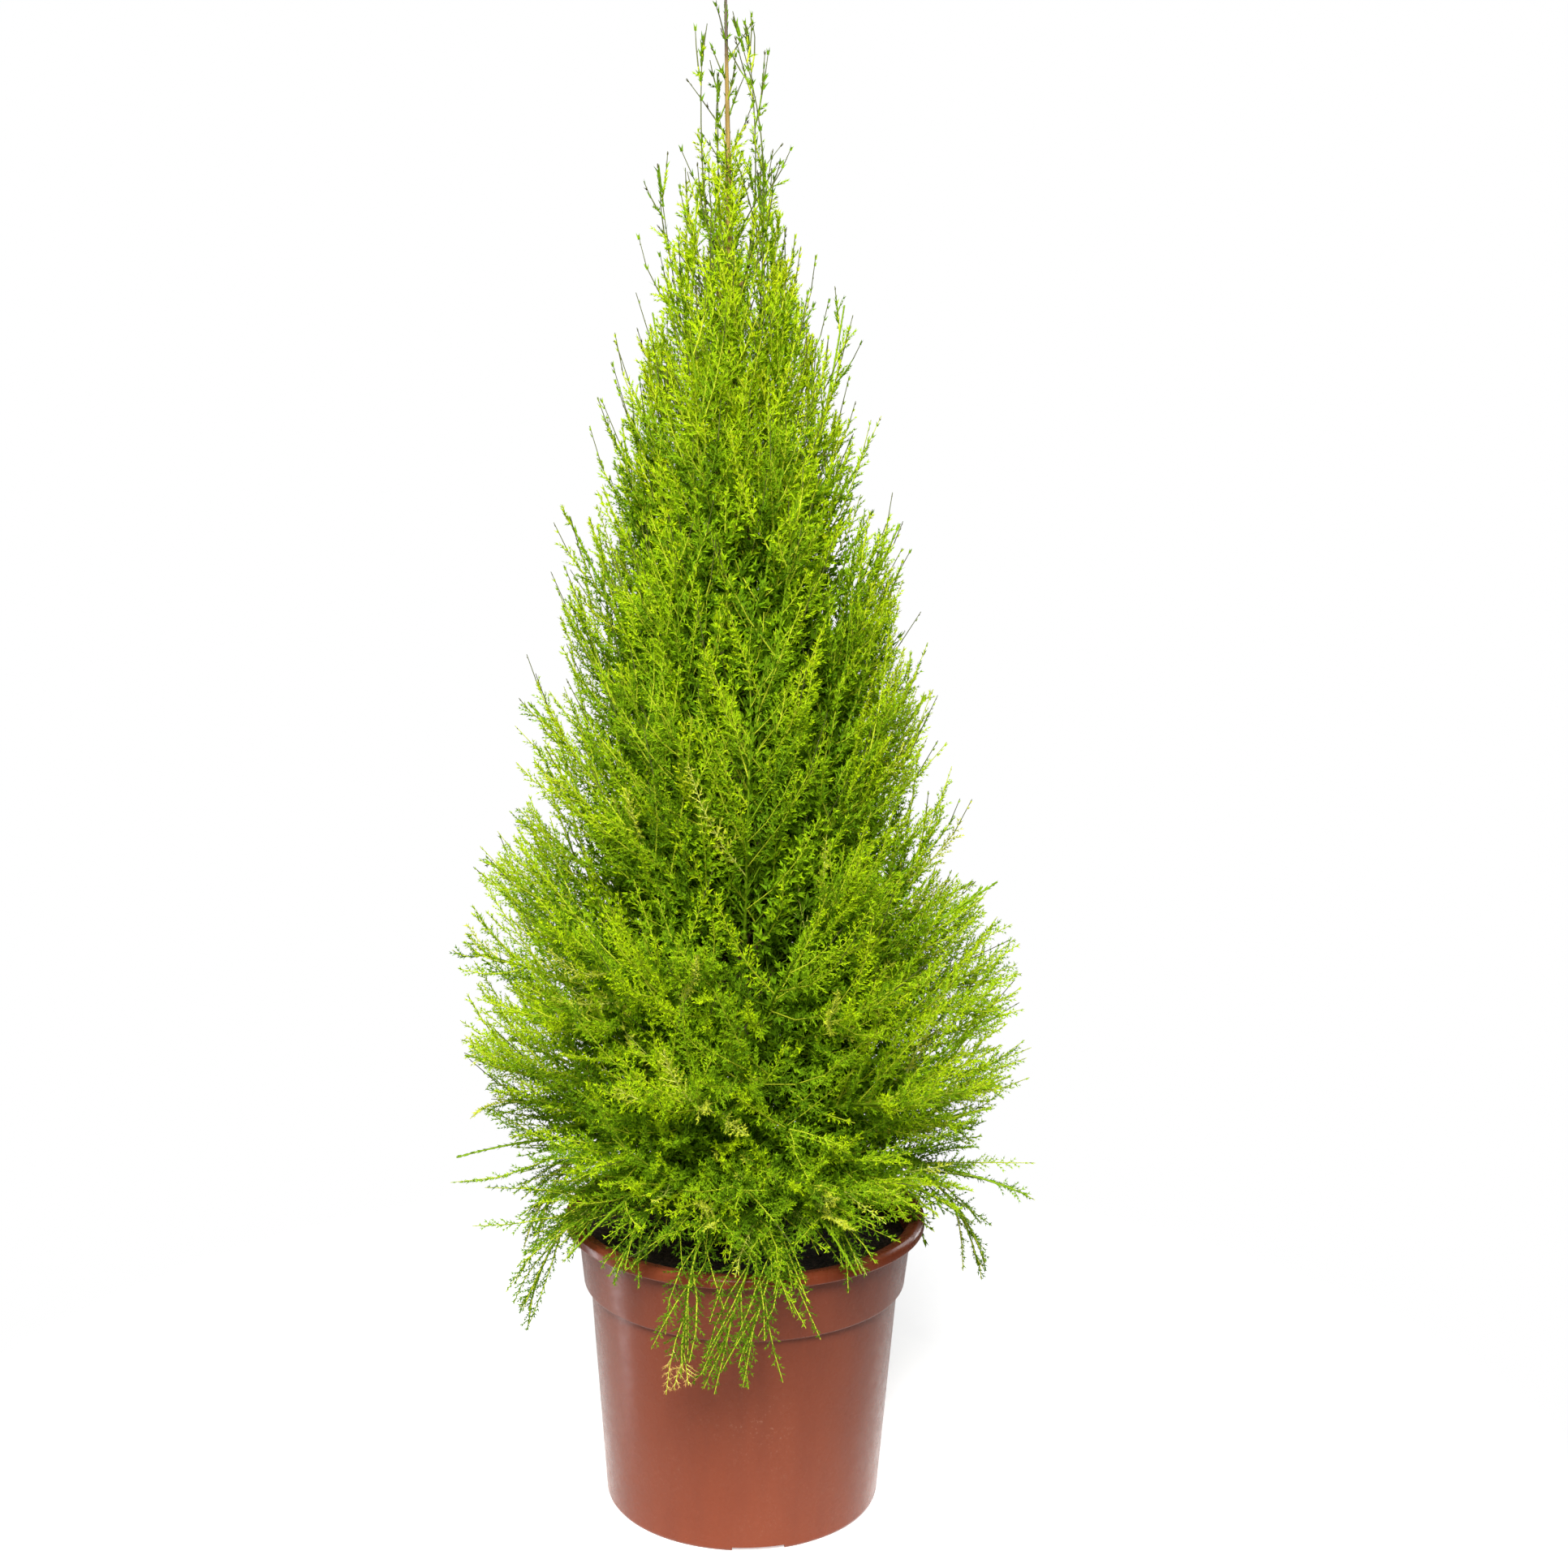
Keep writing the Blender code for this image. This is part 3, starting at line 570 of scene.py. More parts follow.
def leaf_finish(name, colour):
    """A waxy leaf of one plain colour that lets some light through."""
    leaf = Finish("needles_" + name)
    leaf.set(Base_Color=colour, Specular_IOR_Level=0.02)
    leaf.set(Roughness=leaf.ranged(leaf.noise(900.0), 0.3, 0.7, 0.50, 0.70))
    glow = leaf.node("BsdfTranslucent", {"Color": colour})
    both = leaf.node("MixShader", {0: LIGHT_THROUGH, 1: leaf.shader.outputs[0], 2: glow.outputs[0]})
    leaf.tree.links.new(both.outputs[0], leaf.tree.nodes["Material Output"].inputs["Surface"])
    return leaf.material


def twig_finish(name, colour):
    twig = Finish(name)
    twig.set(Base_Color=colour, Specular_IOR_Level=0.05)
    twig.set(Roughness=twig.ranged(twig.noise(1400.0), 0.3, 0.7, 0.45, 0.7))
    twig.bump(twig.noise(2600.0), 0.0001, 0.6)
    return twig.material


def bark_finish():
    """Fibrous red-brown bark, tan and smoother up the leader and dark at its tip."""
    bark = Finish("bark_fibrous")
    height = bark.node("SeparateXYZ", {0: bark.place}).outputs["Z"]
    fibres = bark.noise(900.0, 5.0, (1.0, 1.0, 0.08))
    old = bark.blend(bark.ranged(fibres, 0.32, 0.68), (0.070, 0.040, 0.026), (0.30, 0.19, 0.125))
    young = bark.blend(bark.ranged(fibres, 0.3, 0.7), (0.20, 0.125, 0.030), (0.34, 0.24, 0.052))
    grown = bark.blend(bark.ranged(height, 0.45, 0.80), old, young)
    bark.set(Base_Color=bark.blend(bark.ranged(height, 0.925, 0.94), grown, (0.110, 0.080, 0.060)))
    bark.set(Roughness=bark.ranged(fibres, 0.2, 0.8, 0.95, 0.68))
    bark.bump(fibres, 0.0006, 0.9)
    return bark.material


def pot_finish():
    """Moulded terracotta-coloured plastic with faint mottling, flow lines, scuffs, pale dust and painted
    shade in its creases.
    """
    pot = Finish("pot_terracotta_plastic")
    broad = pot.noise(9.0, 3.0)
    flow = pot.noise(70.0, 3.0, (1.0, 1.0, 0.12))
    base = pot.blend(pot.ranged(broad, 0.3, 0.7), (0.168, 0.036, 0.0145), (0.190, 0.045, 0.020))
    base = pot.blend(pot.ranged(flow, 0.45, 0.75, 0.0, 0.35), base, (0.135, 0.031, 0.016))
    specks = pot.ranged(pot.noise(620.0, 2.0), 0.62, 0.72)
    patches = pot.ranged(pot.noise(17.0, 3.0), 0.48, 0.66, 0.0, 0.5)
    dust = pot.node("Math", {0: specks, 1: patches}, operation="MULTIPLY").outputs[0]
    base = pot.blend(dust, base, (0.32, 0.15, 0.10))
    height = pot.node("SeparateXYZ", {0: pot.place}).outputs["Z"]
    # Painted shade: dark lines in the creases under the collar and under the lip
    for shaded_crease in (COLLAR_BOTTOM - 0.0008, LIP_BOTTOM + 0.0002):
        off = pot.node("Math", {0: height, 1: shaded_crease}, operation="SUBTRACT").outputs[0]
        off = pot.node("Math", {0: off}, operation="ABSOLUTE").outputs[0]
        base = pot.blend(pot.ranged(off, 0.0004, 0.0012, 0.75, 0.0), base, (0.045, 0.011, 0.006))
    pot.set(Base_Color=base)
    pot.set(Roughness=pot.ranged(pot.noise(160.0, 4.0), 0.3, 0.7, 0.22, 0.32), Specular_IOR_Level=0.15)
    pot.bump(pot.noise(40.0, 1.0), 0.0006, 0.5)
    return pot.material


def soil_finish(name, dark, light):
    soil = Finish(name)
    crumbs = soil.noise(520.0, 5.0)
    soil.set(Base_Color=soil.blend(soil.ranged(crumbs, 0.35, 0.7), dark, light))
    soil.set(Roughness=soil.ranged(crumbs, 0.2, 0.8, 0.98, 0.80), Specular_IOR_Level=0.25)
    soil.bump(crumbs, 0.0012, 0.9)
    return soil.material


# Pot
def rounded(points):
    """The outline with each corner drawn as a short curve."""
    made = [points[0]]
    for before, corner, after in zip(points, points[1:], points[2:]):
        before, corner, after = (Vector(p) for p in (before, corner, after))
        back, ahead = before - corner, after - corner
        cut = min(CORNER_CUT, 0.45 * back.length, 0.45 * ahead.length)
        start, end = corner + back.normalized() * cut, corner + ahead.normalized() * cut
        for k in range(CORNER_STEPS + 1):
            t = k / CORNER_STEPS
            made.append(start * (1 - t) ** 2 + corner * (2 * t * (1 - t)) + end * t**2)
    return [tuple(p) for p in made] + [points[-1]]


def pot_outline():
    floor = FOOT_DEPTH + FLOOR_THICKNESS
    underside = (
        (0.0, 0.0),
        (CENTRE_PAD_RADIUS, 0.0),
        (CENTRE_PAD_RADIUS + FOOT_DEPTH, FOOT_DEPTH),
        (POT_BASE_RADIUS - FOOT_WIDTH, FOOT_DEPTH),
        (POT_BASE_RADIUS - FOOT_WIDTH + 0.001, 0.0),
        (POT_BASE_RADIUS - 0.75 * FOOT_ROUND, 0.0),
    )
    outside = (
        (POT_BASE_RADIUS, FOOT_ROUND),
        (POT_BODY_TOP_RADIUS - 0.0004, COLLAR_BOTTOM - COLLAR_STEP),
        (COLLAR_RADIUS, COLLAR_BOTTOM),
        (COLLAR_TOP_RADIUS, LIP_BOTTOM),
        (LIP_RADIUS, LIP_BOTTOM + COLLAR_STEP),
        (LIP_RADIUS - 0.1 * LIP_ROUND, POT_HEIGHT - 0.6 * LIP_ROUND),
        (LIP_RADIUS - LIP_ROUND, POT_HEIGHT),
    )
    inside = (
        (COLLAR_TOP_RADIUS - POT_WALL, POT_HEIGHT - 0.3 * LIP_ROUND),
        (POT_BODY_TOP_RADIUS - POT_WALL, COLLAR_BOTTOM - 2.0 * COLLAR_STEP),
        (POT_BASE_RADIUS - POT_WALL, floor),
        (0.0, floor),
    )
    return rounded(underside + outside + inside)


def lathe(outline, sides, warp=0.0):
    """Vertices and faces of an outline of (radius, height) turned about Z. A radius of 0 is one point."""
    vertices, rings = [], []
    for radius, height in outline:
        if radius == 0.0:
            rings.append([len(vertices)] * sides)
            vertices.append((0.0, 0.0, height))
            continue
        rings.append([len(vertices) + k for k in range(sides)])
        for k in range(sides):
            a = 2.0 * math.pi * k / sides
            way = Vector((math.cos(a), math.sin(a), 0.0))
            swell = warp * noise.noise(way * 1.6 + Vector((0, 0, 9.0 * height)))
            vertices.append(tuple(way * (radius - abs(swell)) + Vector((0, 0, height))))
    faces = []
    for low, high in zip(rings, rings[1:]):
        for k in range(sides):
            n = (k + 1) % sides
            corners = [low[k], low[n], high[n], high[k]]
            faces.append([c for i, c in enumerate(corners) if c not in corners[:i]])
    return vertices, faces


def cylinder(centre, radius, height, sides):
    outline = ((0.0, -height), (radius, -height), (radius, height), (0.0, height))
    vertices, faces = lathe(outline, sides)
    return [tuple(Vector(v) + centre) for v in vertices], faces


def box_shape(centre, size, azimuth):
    turn = Matrix.Rotation(math.radians(azimuth), 3, "Z")
    corners = [(x, y, z) for x in (-0.5, 0.5) for y in (-0.5, 0.5) for z in (-0.5, 0.5)]
    vertices = [centre + turn @ Vector([c * s for c, s in zip(corner, size)]) for corner in corners]
    faces = [[0, 1, 3, 2], [4, 6, 7, 5], [0, 4, 5, 1], [2, 3, 7, 6], [0, 2, 6, 4], [1, 5, 7, 3]]
    return vertices, faces


def plain_mesh(name, vertices, faces, finish):
    mesh = bpy.data.meshes.new(name)
    mesh.from_pydata([tuple(v) for v in vertices], [], faces)
    mesh.materials.append(finish)
    mesh.update()
    return mesh


def cut(mesh, cutters):
    """The mesh with the closed shapes in cutters taken away."""
    body = bpy.data.objects.new("cut_body", mesh)
    tools = bpy.data.collections.new("cutters")
    bpy.context.scene.collection.children.link(tools)
    bpy.context.scene.collection.objects.link(body)
    for vertices, faces in cutters:
        tool = plain_mesh("cutter", vertices, faces, mesh.materials[0])
        tools.objects.link(bpy.data.objects.new("cutter", tool))
    modifier = body.modifiers.new("cut", "BOOLEAN")
    modifier.operation = "DIFFERENCE"
    modifier.operand_type = "COLLECTION"
    modifier.collection = tools
    made = bpy.data.meshes.new_from_object(body.evaluated_get(bpy.context.evaluated_depsgraph_get()))
    for thing in [body, *tools.objects]:
        bpy.data.objects.remove(thing)
    bpy.data.collections.remove(tools)
    return made


def make_pot():
    cutters = []
    for k in range(NOTCH_COUNT):
        azimuth = NOTCH_AZIMUTH + 360.0 * k / NOTCH_COUNT
        size = (2.4 * FOOT_WIDTH, NOTCH_WIDTH, 2.0 * NOTCH_HEIGHT)
        cutters.append(box_shape(outward(azimuth) * POT_BASE_RADIUS, size, azimuth))
    for k in range(DRAIN_COUNT):
        centre = outward(360.0 * k / DRAIN_COUNT) * DRAIN_CIRCLE
        cutters.append(cylinder(centre, DRAIN_RADIUS, 3.0 * FOOT_DEPTH, DRAIN_SIDES))
    vertices, faces = lathe(pot_outline(), POT_SIDES, POT_WARP)
    mesh = cut(plain_mesh("pot_shell", vertices, faces, pot_finish()), cutters)
    mesh.name = "pot_shell"
    mesh.shade_smooth()
    mesh.set_sharp_from_angle(angle=math.radians(SHARP_ANGLE))
    add_object("pot_shell", mesh, ["pot"])


# Soil
def soil_height(x, y):
    """The crumbly top of the soil: a low mound with lumps of several sizes."""
    radius = math.hypot(x, y)
    fall = SOIL_FALL * (radius / (COLLAR_TOP_RADIUS - POT_WALL)) ** 2
    place = Vector((x, y, 0.0))
    lumps = sum(share * noise.noise(place * per_metre) for per_metre, share in SOIL_LUMPS)
    return SOIL_LEVEL - fall + SOIL_RELIEF * lumps


def make_soil(dice):
    """The soil's body, from the pot's floor up, and what lies on it."""
    wall = COLLAR_TOP_RADIUS - POT_WALL - SOIL_GAP
    floor = FOOT_DEPTH + FLOOR_THICKNESS + SOIL_OFF_FLOOR
    outline = [(0.0, floor), (POT_BASE_RADIUS - POT_WALL - SOIL_OFF_BASE, floor)]
    outline += [(wall - SOIL_SHOULDER[0], COLLAR_BOTTOM - SOIL_SHOULDER[1])]
    outline += [(wall * (1.0 - k / SOIL_RINGS), SOIL_LEVEL) for k in range(SOIL_RINGS)]
    outline += [(0.0, SOIL_LEVEL)]
    vertices, faces = lathe(outline, SOIL_SIDES)
    vertices = [(x, y, soil_height(x, y)) if z == SOIL_LEVEL else (x, y, z) for x, y, z in vertices]
    finish = soil_finish("soil_peat", (0.010, 0.007, 0.005), (0.060, 0.038, 0.026))
    mesh = plain_mesh("soil_bed", vertices, faces, finish)
    mesh.shade_smooth()
    add_object("soil_bed", mesh, ["potting_soil"])
    make_clods(dice, wall)
    make_fibres(dice, wall)


def on_the_soil(dice, wall):
    """A random place on the soil, off the trunk's foot and clear of the pot's wall."""
    radius = math.sqrt(mixed(FLARE_RADIUS**2, (wall - CLOD_CLEARANCE) ** 2, dice.random()))
    place = outward(360.0 * dice.random()) * radius
    return Vector((place.x, place.y, soil_height(place.x, place.y)))


def make_clods(dice, wall):
    """Crumbs of soil and bark: lumps with six corners, pushed about at random."""
    corners = [Vector(c) for c in ((1, 0, 0), (-1, 0, 0), (0, 1, 0), (0, -1, 0), (0, 0, 1), (0, 0, -1))]
    sides = [(a, b, c) for a in (0, 1) for b in (2, 3) for c in (4, 5)]
    faces = [(a, b, c) if (a + b + c) % 2 else (a, c, b) for a, b, c in sides]
    vertices, made, tones = [], [], []
    for k in range(CLOD_COUNT):
        size = mixed(*CLOD_SIZES, dice.random() ** 3)
        centre = on_the_soil(dice, wall) + Vector((0, 0, CLOD_LIFT * size))
        turn = Matrix.Rotation(dice.uniform(0, 6.3), 3, Vector([dice.uniform(-1, 1) for _ in range(3)]))
        flat = Vector((1.0, dice.uniform(*CLOD_WIDTHS), dice.uniform(*CLOD_HEIGHTS)))
        first = len(vertices)
        for corner in corners:
            pushed = corner * dice.uniform(*CLOD_PUSHES) * size
            vertices.append(centre + turn @ Vector([p * f for p, f in zip(pushed, flat)]))
        made += [tuple(first + i for i in face) for face in faces]
        tones += [int(dice.random() < BARK_SHARE)] * len(faces)
    finishes = [
        soil_finish("soil_crumbs", (0.012, 0.008, 0.006), (0.075, 0.045, 0.030)),
        soil_finish("soil_bark", (0.055, 0.026, 0.014), (0.170, 0.090, 0.050)),
    ]
    points = np.array([tuple(v) for v in vertices])
    add_arrays("soil_clods", "soil", points, np.array(made), finishes, np.array(tones))


def make_fibres(dice, wall):
    """Strands of fallen twig on the soil."""
    roots, ends = [], []
    for k in range(FIBRE_COUNT):
        start = on_the_soil(dice, wall) + Vector((0, 0, FIBRE_LIFT))
        end = start + outward(360.0 * dice.random()) * mixed(*FIBRE_LENGTHS, dice.random() ** 2)
        if math.hypot(end.x, end.y) > wall - FIBRE_CLEARANCE:
            end = start + (start - end) * 0.5
        roots.append(tuple(start))
        ends.append((end.x, end.y, soil_height(end.x, end.y) + FIBRE_LIFT))
    finish = soil_finish("soil_fibres", (0.10, 0.050, 0.024), (0.26, 0.15, 0.080))
    add_arrays("soil_fibres", "soil", *spikes(np.array(roots), np.array(ends), FIBRE_RADIUS), [finish])


# Trunk
def height_share(height):
    return (height - SOIL_LEVEL) / (TREE_HEIGHT - SOIL_LEVEL)


def trunk_axis(height):
    """The trunk's centre at a height, or at each of an array of heights, as an array."""
    share = height_share(height)
    return np.stack([TRUNK_LEAN * share, TRUNK_SWAY * np.sin(2.0 * np.pi * share), height], -1)


def trunk_radius(height):
    share = np.maximum(0.0, height_share(height)) ** TRUNK_TAPER
    return mixed(TRUNK_FOOT_RADIUS, TRUNK_TIP_RADIUS, share)


def make_trunk(finish):
    """The trunk with its root flare and the bark's long, fibrous ridges."""
    shares = np.linspace(0.0, 1.0, TRUNK_RINGS) ** RING_CROWDING
    heights = SOIL_LEVEL - TRUNK_SUNK + (TREE_HEIGHT - SOIL_LEVEL + TRUNK_SUNK) * shares
    centres, radii = trunk_axis(heights), trunk_radius(heights)
    points = []
    for height, centre, radius in zip(heights, centres, radii):
        spread = max(0.0, 1.0 - (height - SOIL_LEVEL) / FLARE_HEIGHT) ** 2
        for k in range(TRUNK_SIDES):
            a = 2.0 * math.pi * k / TRUNK_SIDES
            lobe = 1.0 - FLARE_LOBE_DEPTH + FLARE_LOBE_DEPTH * math.cos(FLARE_LOBES * a)
            way = np.array((math.cos(a), math.sin(a), 0.0))
            place = Vector((RIDGES_AROUND * way[0], RIDGES_AROUND * way[1], RIDGES_UP * height))
            ridge = 1.0 - 2.0 * abs(noise.noise(place)) + 0.5 * noise.noise(place * 2.3)
            wide = radius * (1.0 + BARK_RELIEF * (ridge - RIDGE_MEAN))
            points.append(centre + way * (wide + (FLARE_RADIUS - TRUNK_FOOT_RADIUS) * spread * lobe))
    faces = tube_faces(1, TRUNK_RINGS, TRUNK_SIDES)
    add_arrays("trunk_bark", "bark", np.array(points), faces, [finish], smooth=True, replaced=["trunk"])


# Lines of shoots
class Lines:
    """Lines that leave root towards turn and end at end. side is the way each one faces.

    These and the notes, such as each line's tier, are arrays with one row for each line.
    """

    def __init__(self, root, turn, end, side, **notes):
        self.root, self.turn, self.end, self.side = root, turn, end, side
        vars(self).update(notes)

    def __len__(self):
        return len(self.root)

    def keep(self, rows):
        return Lines(**{name: column[rows] for name, column in vars(self).items()})

    def point(self, rows, t):
        t = t[..., None]
        return self.root[rows] * (1 - t) ** 2 + self.turn[rows] * (2 * t * (1 - t)) + self.end[rows] * t**2

    def slope(self, rows, t):
        t = t[..., None]
        return unit((self.turn[rows] - self.root[rows]) * (1 - t) + (self.end[rows] - self.turn[rows]) * t)

    def length(self):
        shares = np.linspace(0.0, 1.0, LENGTH_STEPS + 1)
        rows = np.arange(len(self))
        points = np.stack([self.point(rows, np.full(len(self), t)) for t in shares], 1)
        return np.linalg.norm(np.diff(points, axis=1), axis=-1).sum(1)

    def ways(self, rows, t, turn, lean):
        """Directions that leave the lines at t, leaning off them, and turned about them from their side."""
        along = self.slope(rows, t)
        facing = self.side[rows] + UP_SHARE * UP
        facing = unit(facing - along * dot(facing, along))
        other = np.cross(along, facing)
        across = facing * np.cos(turn)[:, None] + other * np.sin(turn)[:, None]
        return along * np.cos(lean)[:, None] + across * np.sin(lean)[:, None], across


def stations(lengths, spacing, first, last):
    """Places a spacing apart along each line: its row, the place's number and its share of the stretch."""
    counts = np.maximum(1, np.round((last - first) * lengths / spacing).astype(int))
    rows = np.repeat(np.arange(len(lengths)), counts)
    number = np.arange(len(rows)) - np.repeat(np.cumsum(counts) - counts, counts)
    return rows, number, (number + 0.5) / counts[rows]


def off_axis(points):
    """The distance of each point from the trunk's axis."""
    return np.linalg.norm((points - trunk_axis(points[:, 2]))[:, :2], axis=1)


def inside_crown(points, reach=1.0, margin=0.0):
    """Whether each point is within a share of the crown's outline, out of the pot and clear of its rim."""
    heights = points[:, 2]
    limit = reach * along_points(CROWN_PROFILE, heights)
    off_pot = np.linalg.norm(points[:, :2], axis=1)
    in_pot = (off_pot < LIP_RADIUS + RIM_CLEARANCE) & (heights < POT_HEIGHT + RIM_CLEARANCE)
    tall = (heights <= TREE_HEIGHT + margin) & (heights >= LOWEST_TIP - margin)
    return tall & (off_axis(points) <= limit + margin) & ~in_pot


def exposure(points):
    """How near each point is to the crown's outline, from 0 at the trunk to 1."""
    share = off_axis(points) / along_points(CROWN_PROFILE, points[:, 2])
    return np.maximum(share, (points[:, 2] - OPEN_FROM) / (OPEN_TO - OPEN_FROM))


def azimuths(points):
    """The azimuth of each point about the trunk, from 0 to 360 degrees."""
    across = points - trunk_axis(points[:, 2])
    return np.degrees(np.arctan2(across[:, 1], across[:, 0])) % 360.0


def in_cleft(points):
    """Whether each point is in the outer part of the cleft in front."""
    heights = points[:, 2]
    near = np.abs(azimuths(points) - along_points(CLEFT, heights)) < CLEFT_HALF
    outer = off_axis(points) > CLEFT_FROM * along_points(CROWN_PROFILE, heights)
    return near & outer & (heights > CLEFT[0][0]) & (heights < CLEFT[-1][0])


def notched(points):
    """The share of the reach that the notch in the right side leaves to each point."""
    right = np.abs((azimuths(points) + 180.0) % 360.0 - 180.0) < NOTCH_HALF
    return np.where(right, along_points(NOTCH, points[:, 2]), 1.0)


def plume_row(number, tier, azimuth, start, tip, reach, swing=0.0):
    """One plume of a tier by the source's rule, as a row of values. swing bends it to one side."""
    side = outward(azimuth)
    lean = math.radians(tier.leave)
    heading = side * math.sin(lean) + Vector((0, 0, math.cos(lean)))
    root = Vector(trunk_axis(start)) + side * float(trunk_radius(start) + BOUGH_RADIUS)
    end = Vector(trunk_axis(tip)) + side * float(along_points(CROWN_PROFILE, tip)) * tier.reach * reach
    turn = root + heading * ((end - root).length * tier.bend) + Vector((-side.y, side.x, 0.0)) * swing
    return tuple(root), tuple(turn), tuple(end), tuple(side), number, tier.blade, tier.bare, tier.bough


def blended(first, second, share):
    """A tier that lies a share of the way from one tier to another."""
    names = ("start", "tip", "reach", "leave", "bend", "bare", "blade")
    values = {name: mixed(getattr(first, name), getattr(second, name), share) for name in names}
    return first._replace(**values)


def shortened(tier, **changes):
    """A tier of short plumes that are leafy almost down to the trunk."""
    return tier._replace(bough=False, bare=SHORT_BARE, blade=SHORT_BLADE * tier.blade, **changes)


def own_plumes():
    """The source's own plumes, by its own draws."""
    own = random.Random(SEED)
    for number, tier in enumerate(TIERS):
        for azimuth in tier.azimuths:
            turned = azimuth + own.uniform(-1, 1) * AZIMUTH_JITTER
            start = tier.start + own.uniform(-0.5, 0.5) * HEIGHT_JITTER
            tip = tier.tip + own.uniform(-1, 1) * HEIGHT_JITTER
            yield plume_row(number, tier, turned, start, tip, 1.0 - REACH_JITTER * own.random())


def sister_plumes(dice):
    """The plumes between the source's own ones. The sparse tiers at the top have few."""
    skirt, low = TIERS[0], shortened(TIERS[1])
    listed = [(0, skirt, HANGING_SWING, plume) for plume in HANGING_SISTERS]
    listed += [(0, skirt, 0.0, plume) for plume in SKIRT_SISTERS]
    listed += [(1, low, 0.0, plume) for plume in FRONT_PLUMES]
    for number, tier, swing, (azimuth, reach, tip) in listed:
        yield plume_row(number, tier, azimuth, tier.start, tip, reach, swing)
    for number, tier in enumerate(TIERS[1:], 1):
        after = TIERS[min(number + 1, len(TIERS) - 1)]
        step = 360.0 / len(tier.azimuths)
        sparse = number >= len(TIERS) - SPARSE_TIERS
        for k, share in enumerate(SISTER_SHARES[:1] if sparse else SISTER_SHARES):
            between = blended(tier, after, share)
            for azimuth in tier.azimuths:
                turned = azimuth + step * (0.5 + GOLDEN_SHARE * k)
                turned += dice.uniform(-1, 1) * SISTER_AZIMUTH_JITTER
                start = between.start + dice.uniform(-1, 1) * SISTER_START_JITTER * (number > 1)
                tip = min(between.tip + dice.uniform(-1, 1) * SISTER_TIP_JITTER, HIGHEST_TIP)
                reach = mixed(*SISTER_REACH, dice.random()) * along_points(DENSE_REACH, tip)
                swing = dice.uniform(-1, 1) * SISTER_SWING
                yield plume_row(number, between, turned, start, tip, reach, swing)


def inner_plumes(dice):
    """Short plumes near the trunk."""
    for number, tier in enumerate(TIERS):
        inner = shortened(tier, leave=INNER_LEAVE * tier.leave)
        for k in range(len(tier.azimuths) * INNER_ROUNDS[number]):
            turned = 360.0 * GOLDEN_SHARE * k + INNER_TURN * number
            turned += dice.uniform(-1, 1) * SISTER_AZIMUTH_JITTER
            start = tier.start + dice.uniform(-1, 1) * SISTER_START_JITTER * (number > 1)
            tip = tier.tip + INNER_RISE * dice.uniform(*INNER_RISES)
            yield plume_row(number, inner, turned, start, tip, mixed(*INNER_REACH, dice.random()))


def plan_plumes(dice):
    """Every plume: the source's own ones, then the hanging sisters and the others."""
    rows = [*own_plumes(), *sister_plumes(dice), *inner_plumes(dice)]
    root, turn, end, side, tiers, blade, bare, bough = (np.array(column) for column in zip(*rows))
    plumes = Lines(root, turn, end, side, tier=tiers, blade=blade, bare=bare, bough=bough)
    order = np.arange(len(plumes))
    sisters = order - sum(len(tier.azimuths) for tier in TIERS)
    hangs = (order < len(TIERS[0].azimuths)) | ((sisters >= 0) & (sisters < len(HANGING_SISTERS)))
    plumes.hangs, plumes.dead = hangs, order == 0
    return plumes


def join(first, second):
    """Two sets of lines as one, with the notes that the second has."""
    columns = vars(second).items()
    return Lines(**{name: np.concatenate([getattr(first, name), column]) for name, column in columns})


def by_tier(values, tier):
    return np.array(values)[tier]


